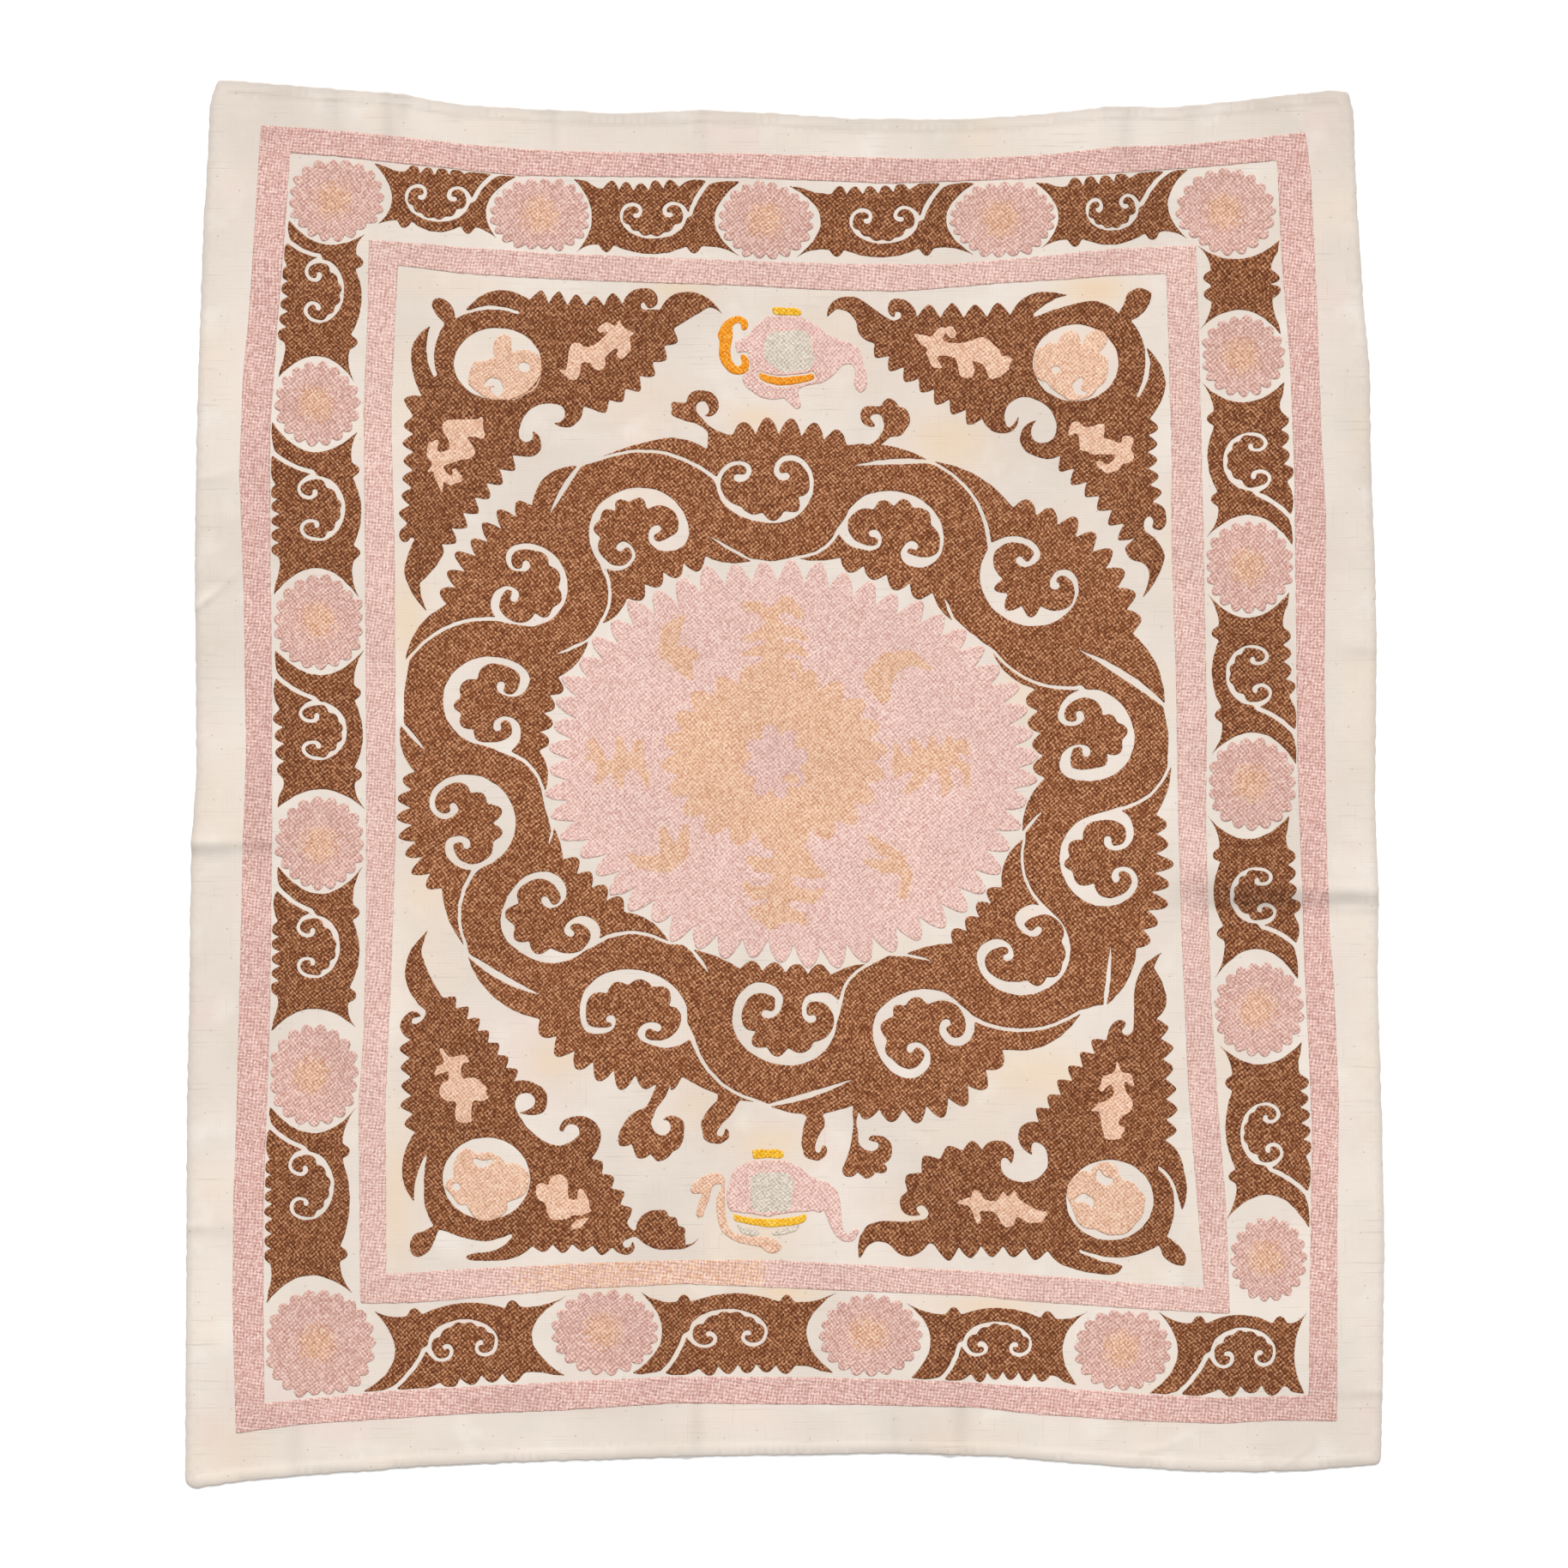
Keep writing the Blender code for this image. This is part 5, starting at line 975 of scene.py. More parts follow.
def panel(row):
    """A leaf panel of the border: horned ends, a scalloped crest, a spiral palmette and its slit."""
    p = dict(zip(PANEL, row))
    (ax, ay), (ox, oy) = SIDES[p["side"]]
    lean = math.radians(p["lean"])

    def put(along, inward):
        u = along * math.cos(lean) + inward * math.sin(lean)
        v = along * math.sin(lean) - inward * math.cos(lean)
        return between_bands(p["side"], p["x"] + u * ax + v * ox, p["y"] + u * ay + v * oy)

    out, inner, crest, low = -p["out"], p["in"], -p["crest"] - CREST_RISE, p["vine"] - BUMP_DEEP
    start, far = (p["start_out"], out), (p["end_out"], out)
    near_end, near_start = (p["end_in"], inner), (p["start_in"], inner)
    flank, first = (p["start_out"] + 16, out + 3), (p["start_dip"] + 13, crest + 12)
    way = [start] + bows(start, (flank, 0.0), (first, -2))
    if p["half_long"]:
        base, tip = (0.80 * p["half_long"], crest + 9), (p["leaf"], out)
        mouth = (p["leaf"] + SLIT_WIDE, out + 3)
        gap = [(slitward, -leafward) for slitward, leafward in
               palmette(sized(PANEL_PALMETTE, p["half_long"], p["half_high"]), PANEL_EYE)]
        way += lobes(first, base, 0, p["lobes"], PANEL_LOBE, 0.0, CREST_POINT)
        way += bows(base, (tip, 5), (gap[-1], -3)) + gap[::-1][1:] + bows(gap[0], (mouth, 3), (far, 2))
        bumps = (0.68 * p["end_dip"], max(0.74 * p["start_dip"], p["start_dip"] + 17))
    else:
        base = (p["end_dip"] - 12, crest + 11)
        way += lobes(first, base, 0, p["lobes"], PANEL_LOBE, 0.0, CREST_POINT)
        way += bow(base, (p["end_out"] - 14, out + 3), -2)
        way += bow(way[-1], far)
        bumps = (9.0, -10.0)
    way += bows(far, (near_end, p["end_dip"] - (p["end_out"] + p["end_in"]) / 2.0),
                ((bumps[0] + 9, low), -4), ((bumps[0] - 8, low), 9),
                ((bumps[1] + 8, low), 10), ((bumps[1] - 9, low), 9), (near_start, -4),
                (start, (p["start_out"] + p["start_in"]) / 2.0 - p["start_dip"]))[:-1]
    return [put(*spot) for spot in way]


def scroll(row, shape):
    """One scroll of the vine from the stem before its leaf to the stem after it, the way of the clock."""
    s = dict(zip(UNIT, row))
    side, turn = s["side"], math.radians(s["turn"])
    leaf = (math.cos(turn), -math.sin(turn))
    back = (leaf[1] * side, -leaf[0] * side)

    def inward(place):
        return place[0] - SLIT_MOUTH * leaf[0], place[1] - SLIT_MOUTH * leaf[1]

    gap = [(s["x"] + p * back[0] + q * leaf[0], s["y"] + p * back[1] + q * leaf[1])
           for p, q in palmette(shape)]
    tip, teeth, end, last, slit = s["tip"], s["teeth"], s["end"], s["next"], s["slit"]
    mouth = inward(tip)
    slide = side * SLIT_BOW * math.dist(mouth, gap[0])
    way = [mouth] + bow(mouth, gap[0], slide)[:-1] + gap + bow(gap[-1], tip, -slide)
    way += bow(tip, teeth, side * s["tip_bulge"])
    extra = CREST_EXTRA if side > 0 else 0.0
    way += lobes(teeth, end, side * s["crest"], s["count"], side * TOOTH_HIGH, extra, CREST_POINT)
    way += bow(end, last, side * s["end_bulge"]) + bow(last, slit, -side * s["slit_bulge"] * 0.5)
    way += bow(slit, inward(last), side * (s["slit_bulge"] * (0.5 - SLIT_SWELL) - SLIT_EASE))
    return way + bow(inward(last), s["stem"])[:-1]


def graft(outline, rows):
    """Grows a sprig out of an outline, in place of the edge between its two feet."""
    sprig = strokes(rows)
    first, last = (min(range(len(outline)), key=lambda i: math.dist(outline[i], foot))
                   for foot in (sprig[0], sprig[-1]))
    return outline[:first] + sprig + outline[max(last, first) + 1:]


def resampled(loop, step):
    """A closed line with points at even steps along it."""
    kept = [p for p, q in round_pairs(loop) if math.dist(p, q) > CLOSE]
    sides = [math.dist(p, q) for p, q in round_pairs(kept)]
    count = max(8, round(sum(sides) / step))
    stride = sum(sides) / count
    done, at, gone = [], 0, 0.0
    for i in range(count):
        goal = i * stride
        while at < len(sides) - 1 and gone + sides[at] < goal:
            gone += sides[at]
            at += 1
        share = min(1.0, (goal - gone) / sides[at])
        (x0, y0), (x1, y1) = kept[at], kept[(at + 1) % len(kept)]
        done.append((x0 + share * (x1 - x0), y0 + share * (y1 - y0)))
    return done


def worked_edge(loop, step=EDGE_STEP, wobble=WOBBLE):
    """An outline as hand work leaves it, a little rounded and uneven, in cloth millimetres."""
    line = [on_cloth(*place) for place in resampled(loop, step)]
    line = [((a[0] + 2.0 * b[0] + c[0]) / 4.0, (a[1] + 2.0 * b[1] + c[1]) / 4.0)
            for a, b, c in with_neighbours(line)]
    if turning(line) < 0.0:
        line.reverse()
    noise.seed_set(WOBBLE_SEED)
    drifts = [noise.noise_vector(Vector((x, y, 3.0)) / WOBBLE_SPAN) for x, y in line]
    return [(x + wobble * drift.x, y + wobble * drift.y) for (x, y), drift in zip(line, drifts)]


def soft_creases():
    """The creases' rows in cloth millimetres: start, way, length, half width and height."""
    rows = []
    for x, y, end_x, end_y, half_wide, high in CREASES + WRINKLES:
        way = (end_x - x, y - end_y)
        length = math.hypot(*way)
        rows.append((on_cloth(x, y), (way[0] / length, way[1] / length), length, half_wide, high))
    return rows


def beside_creases(x, y):
    """For each crease that a place lies beside: how far along and off its line that is, and its row."""
    for row in SOFT_CREASES:
        (x0, y0), (way_x, way_y), length, _, _ = row
        run = (x - x0) * way_x + (y - y0) * way_y
        if -CREASE_REACH < run < length:
            yield run, (y - y0) * way_x - (x - x0) * way_y, row


def lift(x, y):
    """How high the lying cloth is lifted off the table, in millimetres: its creases and slow waves."""
    total = WAVE_HIGH * max(0.0, noise.noise(Vector((x, y, 0.0)) / WAVE_SPAN))
    for run, off, (start, _, length, half_wide, high) in beside_creases(x, y):
        off += CREASE_DRIFT * noise.noise(Vector((run / CREASE_SPAN, *start)))
        if abs(off) < CREASE_WIDE * half_wide:
            fade = (1.0 - max(run, 0.0) / length) ** CREASE_FADE
            total += high * fade * math.exp(-(CREASE_SHARP * off / half_wide) ** 2)
    return total


def near_crease(x, y):
    """Whether a place is on a crease, where the cloth takes smaller faces."""
    return any(abs(off) < CREASE_FINE * half_wide for _, off, (*_, half_wide, _) in beside_creases(x, y))


def rows_inside(loops, pitch):
    """Places of an even staggered grid that lie inside the loops, by rows."""
    rise = pitch * 0.866
    crossings = {}
    for (x0, y0), (x1, y1) in [side for loop in loops for side in round_pairs(loop)]:
        low, up = sorted((y0, y1))
        for row in range(math.ceil(low / rise), math.ceil(up / rise)):
            crossings.setdefault(row, []).append(x0 + (row * rise - y0) / (y1 - y0) * (x1 - x0))
    places = []
    for row in sorted(crossings):
        line = sorted(crossings[row])
        shift = 0.5 * pitch * (row % 2)
        for left, right in zip(line[::2], line[1::2]):
            for i in range(math.ceil((left - shift) / pitch), math.floor((right - shift) / pitch) + 1):
                places.append((i * pitch + shift, row * rise))
    return places


class Edge:
    """The worked outlines of one area, and how far a place is from them."""

    def __init__(self, loops):
        self.loops = loops
        self.sides = [side for loop in loops for side in with_neighbours(loop)]
        self.tree = tree_of([place for loop in loops for place in loop])

    def away(self, x, y):
        _, index, gap = self.tree.find((x, y, 0.0))
        before, here, after = self.sides[index]
        for other in (before, after):
            run, fall = other[0] - here[0], other[1] - here[1]
            share = ((x - here[0]) * run + (y - here[1]) * fall) / max(run * run + fall * fall, 0.0001)
            if 0.0 < share < 1.0:
                gap = min(gap, math.dist((x, y), (here[0] + share * run, here[1] + share * fall)))
        return gap

    def rings(self, insets):
        """Points inside the area at each inset from its outlines, where there is room."""
        found = []
        for loop_number, loop in enumerate(self.loops):
            side = 1.0 if loop_number == 0 else -1.0
            for (x0, y0), (x, y), (x1, y1) in with_neighbours(loop):
                span = max(math.hypot(x1 - x0, y1 - y0), TINY)
                inward = (-side * (y1 - y0) / span, side * (x1 - x0) / span)
                for inset in insets:
                    place = (x + inset * inward[0], y + inset * inward[1])
                    if self.away(*place) > RING_ROOM * inset:
                        found.append(place)
        return found


def height_at(profile, away):
    """The share of a sheet's height at a way in from its edge."""
    for (near, low), (far, up) in zip(profile, profile[1:]):
        if away <= far:
            return low + (up - low) * max(0.0, away - near) / (far - near)
    return profile[-1][1]


def numbered(loops):
    """The numbers that the loops' points have one after another, by loops."""
    numbers = iter(range(sum(len(loop) for loop in loops)))
    return [[next(numbers) for _ in loop] for loop in loops]


def rims_of(faces, places):
    """The closed lines round a sheet of faces, the one round the largest area first."""
    sides = dict.fromkeys(side for face in faces for side in round_pairs(face))
    left = {a: b for a, b in sides if (b, a) not in sides}
    loops = []
    while left:
        start, at = next(iter(left.items()))
        del left[start]
        loop = [start]
        while at != start:
            loop.append(at)
            at = left.pop(at)
        loops.append(loop)
    return sorted(loops, key=lambda loop: -abs(turning([places[i] for i in loop])))


def area_mesh(name, edge, spare, top_at, under_at, patches=(), parts=(), under_spare=()):
    """A closed thin sheet between worked outlines, as a mesh. patches give faces another material.

    spare are places inside it, top_at and under_at its upper and lower height at a place.
    """
    lines = [*edge.loops, *patches]
    points = [Vector(place) for line in lines for place in line] + [Vector(place) for place in spare]
    holes = len(edge.loops)
    verts, _, faces, _, _, sources = delaunay_2d_cdt(points, [], numbered(lines), 1, FILL_MERGE)
    kept, kinds = [], []
    for face, source in zip(faces, sources):
        if 0 in source and not any(0 < ring < holes for ring in source):
            patch = max([ring for ring in source if ring >= holes], default=0)
            kept.append(face)
            kinds.append(parts[patch - holes] if patch else 0)
    used = {}
    for face in kept:
        for i in face:
            used.setdefault(i, len(used))
    places = [tuple(verts[i]) for i in used]
    kept = [[used[i] for i in face] for face in kept]
    tops = len(kept)
    coords = [in_metres(x, y, top_at(x, y, edge.away(x, y))) for x, y in places]
    loops = rims_of(kept, places)
    order = [i for loop in loops for i in loop]
    low = {i: len(coords) + number for number, i in enumerate(order)}
    coords += [in_metres(*places[i], under_at(*places[i])) for i in order]
    kept += [[b, a, low[a], low[b]] for loop in loops for a, b in round_pairs(loop)]
    flat = [Vector(places[i]) for i in order] + [Vector(place) for place in under_spare]
    rings = [ring if turning([tuple(flat[i]) for i in ring]) > 0 else ring[::-1]
             for ring in numbered(loops)]
    verts, _, faces, origins, _, sources = delaunay_2d_cdt(flat, [], rings, 1, UNDER_MERGE)
    names = {}
    for i, origin in enumerate(origins):
        first = min((k for k in origin if k < len(order)), default=None)
        if first is None:
            names[i] = len(coords)
            coords.append(in_metres(*verts[i], under_at(*verts[i])))
        else:
            names[i] = low[order[first]]
    kept += [[names[i] for i in face][::-1] for face, source in zip(faces, sources)
             if 0 in source and not any(ring > 0 for ring in source)]
    kinds += [0] * (len(kept) - tops)
    mesh = bpy.data.meshes.new(name)
    mesh.from_pydata(coords, [], kept)
    mesh.polygons.foreach_set("material_index", kinds)
    mesh.polygons.foreach_set("use_smooth", [i < tops for i in range(len(kept))])
    return mesh, places


def tone(red, green, blue):
    """A colour as the eye reads it, 0 to 255, as the linear colour that a shader takes."""
    def linear(value):
        value /= 255.0
        return value / 12.92 if value <= 0.04045 else ((value + 0.055) / 1.055) ** 2.4
    return linear(red), linear(green), linear(blue)


def add(tree, kind, inputs=None, **settings):
    """A shader node with its settings. An input takes a value, or the socket that feeds it."""
    node = tree.nodes.new("ShaderNode" + kind)
    for key, value in settings.items():
        setattr(node, key, value)
    for key, value in (inputs or {}).items():
        if isinstance(value, bpy.types.NodeSocket):
            tree.links.new(value, node.inputs[key])
        else:
            node.inputs[key].default_value = value
    return node


def math_of(tree, operation, first, second=0.0, clamp=False):
    return add(tree, "Math", {0: first, 1: second}, operation=operation, use_clamp=clamp).outputs[0]


def spread(tree, value, low, high, to_low, to_high):
    """A value's range turned into another one."""
    return add(tree, "MapRange", {0: value, 1: low, 2: high, 3: to_low, 4: to_high}).outputs[0]


def cloud(tree, place, scale, detail, rough=0.5):
    """A soft uneven value."""
    inputs = {"Vector": place, "Scale": scale, "Detail": detail, "Roughness": rough}
    return add(tree, "TexNoise", inputs).outputs["Fac"]


def laid_out(tree, place, **inputs):
    """The places moved, turned or stretched."""
    return add(tree, "Mapping", {"Vector": place, **inputs}).outputs[0]


def own_value(tree, name):
    """A value that the piece's own points carry."""
    return add(tree, "Attribute", attribute_name=name, attribute_type="GEOMETRY").outputs["Fac"]


def ramp(tree, value, positions, colours):
    node = add(tree, "ValToRGB", {0: value})
    elements = node.color_ramp.elements
    while len(elements) < len(positions):
        elements.new(1.0)
    for element, position, colour in zip(elements, positions, colours):
        element.position = position
        element.color = (*colour, 1.0)
    return node.outputs[0]


def mixed(tree, factor, first, second, blend="MIX"):
    node = add(tree, "Mix", data_type="RGBA", blend_type=blend)
    for key, value in ((0, factor), (6, first), (7, second)):
        if isinstance(value, bpy.types.NodeSocket):
            tree.links.new(value, node.inputs[key])
        else:
            node.inputs[key].default_value = value if key == 0 else (*value, 1.0)
    return node.outputs[2]


def darker(tree, colour, value):
    """A colour multiplied by a value."""
    grey = add(tree, "CombineColor", {0: value, 1: value, 2: value}).outputs[0]
    return mixed(tree, 1.0, colour, grey, "MULTIPLY")


def shaded(tree, colour):
    """A colour that is darker where its piece's own shade value says so."""
    return darker(tree, colour, math_of(tree, "SUBTRACT", 1.0, own_value(tree, "shade")))


def blank(name, roughness, sheen):
    material = bpy.data.materials.new(name)
    material.use_nodes = True
    shade = material.node_tree.nodes["Principled BSDF"]
    for socket, value in (("Roughness", roughness), ("Sheen Weight", sheen),
                          ("Sheen Roughness", SHEEN_ROUGHNESS), ("Specular IOR Level", SPECULAR)):
        shade.inputs[socket].default_value = value
    return material, material.node_tree, shade


def finish_surface(tree, shade, colour, high, strength, deep, rough):
    """Joins a colour, a bump deep metres high and a roughness to a material's shader."""
    tree.links.new(shaded(tree, colour), shade.inputs["Base Color"])
    bump = add(tree, "Bump", {"Height": high, "Strength": strength, "Distance": deep})
    tree.links.new(bump.outputs[0], shade.inputs["Normal"])
    tree.links.new(rough, shade.inputs["Roughness"])


def thread_material(name, colours, warm, stitch, row, gap_shade):
    """Rows of chain stitch: one grain for each stitch, with painted shade between them, and a tone that
    drifts.

    colours and warm are the dark, middle and light colours of the stitches. warm takes over where the
    piece's own warm value says so. row is the slant of the rows of stitches.
    """
    material, tree, shade = blank(name, *THREAD_SURFACE)
    place = add(tree, "TexCoord").outputs["Object"]
    slow = add(tree, "TexNoise", {"Vector": place, "Scale": ROW_TURNS, "Detail": 1.0}).outputs["Color"]
    turn = add(tree, "VectorMath", {0: slow, 1: (0.5, 0.5, 0.5)}, operation="SUBTRACT").outputs[0]
    turn = add(tree, "VectorMath", {0: turn, 3: ROW_SWAY}, operation="SCALE").outputs[0]
    moved = add(tree, "VectorMath", {0: place, 1: turn}, operation="ADD").outputs[0]
    slant = (0.0, 0.0, row)
    laid = laid_out(tree, moved, Rotation=slant, Scale=tuple(share / stitch for share in STITCH_FORM))
    cell = add(tree, "TexVoronoi", {"Vector": laid, "Scale": 1.0, "Randomness": STITCH_RANDOM},
               voronoi_dimensions="2D").outputs
    pick = add(tree, "SeparateColor", {0: cell["Color"]}).outputs
    line = add(tree, "SeparateXYZ", {0: laid_out(tree, moved, Rotation=slant)}).outputs
    waves = [math_of(tree, "SINE", math_of(tree, "MULTIPLY", line[axis], 1000.0 * math.tau / ROW_PITCH))
             for axis in (0, 1)]
    rows = math_of(tree, "MULTIPLY", *waves)
    light = math_of(tree, "MULTIPLY_ADD", rows, ROW_SHARE)
    light.node.inputs[2].default_value = 0.5 - CELL_SHARE / 2.0
    light = math_of(tree, "ADD", light, math_of(tree, "MULTIPLY", pick[0], CELL_SHARE), True)
    colour = ramp(tree, light, STITCH_STOPS, colours)
    if warm:
        share = own_value(tree, "warm")
        loose = math_of(tree, "MULTIPLY", math_of(tree, "SUBTRACT", pick[1], 0.5), WARM_LOOSE)
        share = spread(tree, math_of(tree, "ADD", share, loose), *WARM_EDGE, 0.0, 1.0)
        colour = mixed(tree, share, colour, ramp(tree, light, STITCH_STOPS, warm))
    # Painted shade in the gaps between the stitches, full for the brown threads and softer for the others.
    gap = spread(tree, cell["Distance"], *STITCH_GAP, 1.0, 1.0 - GAP_SHADE * gap_shade)
    drift = spread(tree, cloud(tree, place, 9.0, 4.0), 0.3, 0.7, 0.95, 1.05)
    colour = darker(tree, colour, math_of(tree, "MULTIPLY", gap, drift))
    dome = spread(tree, cell["Distance"], 0.0, 0.75, 1.0, 0.0)
    dome = math_of(tree, "ADD", dome, math_of(tree, "MULTIPLY", rows, ROW_BUMP))
    fibre = cloud(tree, place, FIBRE_SCALE, 2.0)
    high = math_of(tree, "ADD", dome, math_of(tree, "MULTIPLY", fibre, FIBRE_BUMP))
    finish_surface(tree, shade, colour, high, *THREAD_BUMP, spread(tree, fibre, 0.3, 0.7, 0.74, 0.92))
    return material


def cloth_material(name, settings):
    """Plain weave cotton that has yellowed and stained a little, with grey slubs and a painted edge shadow.
    """
    material, tree, shade = blank(name, *CLOTH_SURFACE)
    place = add(tree, "TexCoord").outputs["Object"]
    drift = cloud(tree, place, 4.0, 5.0, 0.6)
    colour = ramp(tree, drift, (0.35, 0.65), (settings.cloth_dark, settings.cloth_light))
    for number, (tint, scale, low, high, share) in enumerate(STAINS):
        patch = cloud(tree, laid_out(tree, place, Location=(1.7 * number, 3.1 * number, 0.0)), scale, 3.0)
        colour = mixed(tree, spread(tree, patch, low, high, 0.0, share), colour, tone(*tint))
    for scale, low, high, share in SLUBS:
        slub = cloud(tree, laid_out(tree, place, Scale=scale), 1.0, 2.0)
        colour = mixed(tree, spread(tree, slub, low, high, 0.0, share), colour, tone(*SLUB_TONE))
    # The cloth's warm value paints a shadow line along its edge; the dye value marks real stains.
    for value, share, tint in (("warm", EDGE_SHADE_SHARE, EDGE_SHADE_TONE), ("dye", DYE_SHARE, DYE_TONE)):
        cover = math_of(tree, "MULTIPLY", own_value(tree, value), share, True)
        colour = mixed(tree, cover, colour, tone(*tint))
    speck = add(tree, "TexVoronoi", {"Vector": place, "Scale": SPECK_SCALE, "Randomness": 1.0},
                voronoi_dimensions="2D").outputs["Distance"]
    colour = mixed(tree, spread(tree, speck, *SPECK_EDGE, SPECK_SHARE, 0.0), colour, tone(*SPECK_TONE))
    waves = [add(tree, "TexWave", {"Vector": place, "Scale": WEAVE_SCALE, "Distortion": 0.6, "Detail": 1.0},
                 wave_type="BANDS", bands_direction=way).outputs["Fac"] for way in "XY"]
    weave = math_of(tree, "MULTIPLY", *waves)
    colour = darker(tree, colour, spread(tree, weave, 0.0, 1.0, 0.95, 1.03))
    finish_surface(tree, shade, colour, weave, *CLOTH_BUMP, spread(tree, drift, 0.3, 0.7, 0.86, 0.95))
    return material


def thread_called(name):
    """The material of a thread. A band's thread has slanting rows, and rose_flower has a warm middle."""
    label = name + "_thread"
    if label in bpy.data.materials:
        return bpy.data.materials[label]
    settings = bpy.context.scene.tablecloth

    def colours(thread):
        return [tuple(getattr(settings, f"{thread}_{depth}")) for depth in STITCH_TONES]

    main_colours, warm, slant, gap_shade = name, None, ROW_SLANT, SOFT_GAP_SHADE
    if name.endswith("_band"):
        main_colours, warm, slant = name.removesuffix("_band"), colours("peach"), BAND_SLANT
    elif name == "rose_flower":
        main_colours, warm = "flower", colours("amber")
    elif name in ("brown", "bark"):
        gap_shade = 1.0
    return thread_material(label, colours(main_colours), warm, settings.stitch, slant, gap_shade)


def show(name, mesh, materials, nodes):
    """Puts a mesh on the cloth's body as a piece that stands for CAD nodes."""
    for material in materials:
        mesh.materials.append(material)
    piece = bpy.data.objects.new(name, mesh)
    bpy.context.scene.collection.objects.link(piece)
    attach(piece, "root")
    if nodes:
        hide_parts(*nodes)


def mark(mesh, places, name, value_at):
    """Writes each upper point's value for the materials; the later points are on the sides and below."""
    values = [value_at(x, y) for x, y in places]
    values += [0.0] * (len(mesh.vertices) - len(places))
    mesh.attributes.new(name, "FLOAT", "POINT").data.foreach_set("value", values)


def spots_at(spots):
    """A function for how strongly the soft spots of a table cover a place on the cloth."""
    def cover(x, y):
        x, y = on_layout(x, y)
        total = 0.0
        for at_x, at_y, half_wide, half_long, share in spots:
            off = ((x - at_x) / half_wide) ** 2 + ((y - at_y) / half_long) ** 2
            if off < SPOT_REACH:
                total += share * math.exp(-off)
        return total
    return cover


def patches_on(node):
    """The outlines of the inner colours on an area, each with its thread, or with None where it is open."""
    patches = [(notched(*row), thread) for owner, thread, row in ROUND_FLOWERS if owner == node]
    for chains in MOTIFS.get(node, ()):
        loops = motif(chains)
        thread = MOTIF_THREADS[node.split("_")[0]]
        patches += [(loop, thread if turning(loop) * turning(loops[0]) > 0.0 else None) for loop in loops]
    return patches


def thread_piece(node, loops, thread, warm_at=None, name=None):
    """An area of chain stitch: a raised sheet with a firm edge that follows the cloth under it."""
    settings = bpy.context.scene.tablecloth
    base, high = settings.cloth_thick / MILLIMETRE, settings.thread_high / MILLIMETRE
    edge = Edge([worked_edge(loop) for loop in loops])
    patches = patches_on(node) if node else []
    spots = [worked_edge(loop) for loop, _ in patches]
    kinds = sorted({kind for _, kind in patches if kind})
    grooves = tree_of([place for spot in spots for place in spot]) if spots else None
    spare = edge.rings([inset for inset, _ in STITCH_PROFILE[1:]])
    spare += [place for place in rows_inside(edge.loops, THREAD_GRAIN)
              if edge.away(*place) > CLEAR_OF_RINGS]

    def top_at(x, y, away):
        rise = high * height_at(STITCH_PROFILE, away)
        rise += GRAIN_HIGH * noise.noise(Vector((x, y, 7.0)) / GRAIN_SPAN)
        if grooves:
            rise -= GROOVE_DEEP * math.exp(-(grooves.find((x, y, 0.0))[2] / GROOVE_WIDE) ** 2)
        return base + lift(x, y) + max(rise, THREAD_LEAST)

    def under_at(x, y):
        return base + lift(x, y) + THREAD_GAP

    name = name or "stitched_" + node
    mesh, places = area_mesh(name, edge, spare, top_at, under_at, spots,
                             [1 + kinds.index(kind) if kind else 0 for _, kind in patches])
    mark(mesh, places, "shade", spots_at(SHADES))
    if warm_at:
        mark(mesh, places, "warm", warm_at)
    show(name, mesh, [thread_called(kind) for kind in (thread, *kinds)], [node] if node else [])


def middle_warm(x, y):
    """A function for the warm middle of a flower, fading out at its rim."""
    middle = on_cloth(x - 2, y - 1)
    return lambda at_x, at_y: min(1.0, max(0.0, 1.5 - math.dist(middle, (at_x, at_y)) / ROSETTE_MIDDLE))


def band_warm(x, y):
    """The inner band's peach stretch, below the lower pot."""
    left, right, top = WARM_STRETCH
    x, y = on_layout(x, y)
    if y <= top:
        return 0.0
    return WARM_SHARE * min(1.0, max(0.0, (right - x) / 12.0)) * min(1.0, max(0.0, (x - left) / 90.0))


def joined(lines):
    return [place for line in lines for place in line]


def vine_loops():
    """The vine's outer and inner outline, the outer one with its sprigs."""
    scrolls = [(row[0], scroll(row, shape)) for row, shape in zip(UNITS, PALMETTES)]
    outer, inner = (joined(places for side, places in scrolls if side == kind) for kind in (1, -1))
    for rows in SPRIGS:
        outer = graft(outer, rows)
    return outer, inner


def length_setting(name, description, default, least, most):
    return bpy.props.FloatProperty(name=name, description=description, default=default, min=least, max=most,
                                   unit="LENGTH", precision=4)


def power_setting(name, description, default, most):
    return bpy.props.FloatProperty(name=name, description=description, default=default, min=0.0, max=most,
                                   subtype="FACTOR")


def colour_setting(name, description, colour):
    return bpy.props.FloatVectorProperty(name=name, description=description, default=tone(*colour), min=0.0,
                                         max=1.0, size=3, subtype="COLOR")


class TableclothSettings(bpy.types.PropertyGroup):
    """The sizes and colours of the tablecloth that a user would change."""
    cloth_thick: length_setting("Cloth thickness", "How thick the cotton cloth is", 0.0012, 0.0005, 0.003)
    hem_rise: length_setting("Hem rise", "How much the hem stands above the cloth", 0.0006, 0.0, 0.002)
    thread_high: length_setting("Stitching height", "How high the chain stitch stands on the cloth",
                                0.001, 0.0003, 0.002)
    stitch: length_setting("Stitch length", "How long one stitch is", 0.0021, 0.001, 0.006)
    light_power: power_setting("Light power", "A factor on the power of the lights", 1.0, 10.0)
    world_power: power_setting("Room light", "The strength of the light from the room", 0.5, 3.0)
    cloth_dark: colour_setting("Cloth dark", "The duller colour of the cotton", (223, 210, 198))
    cloth_light: colour_setting("Cloth light", "The fresher colour of the cotton", (237, 225, 214))


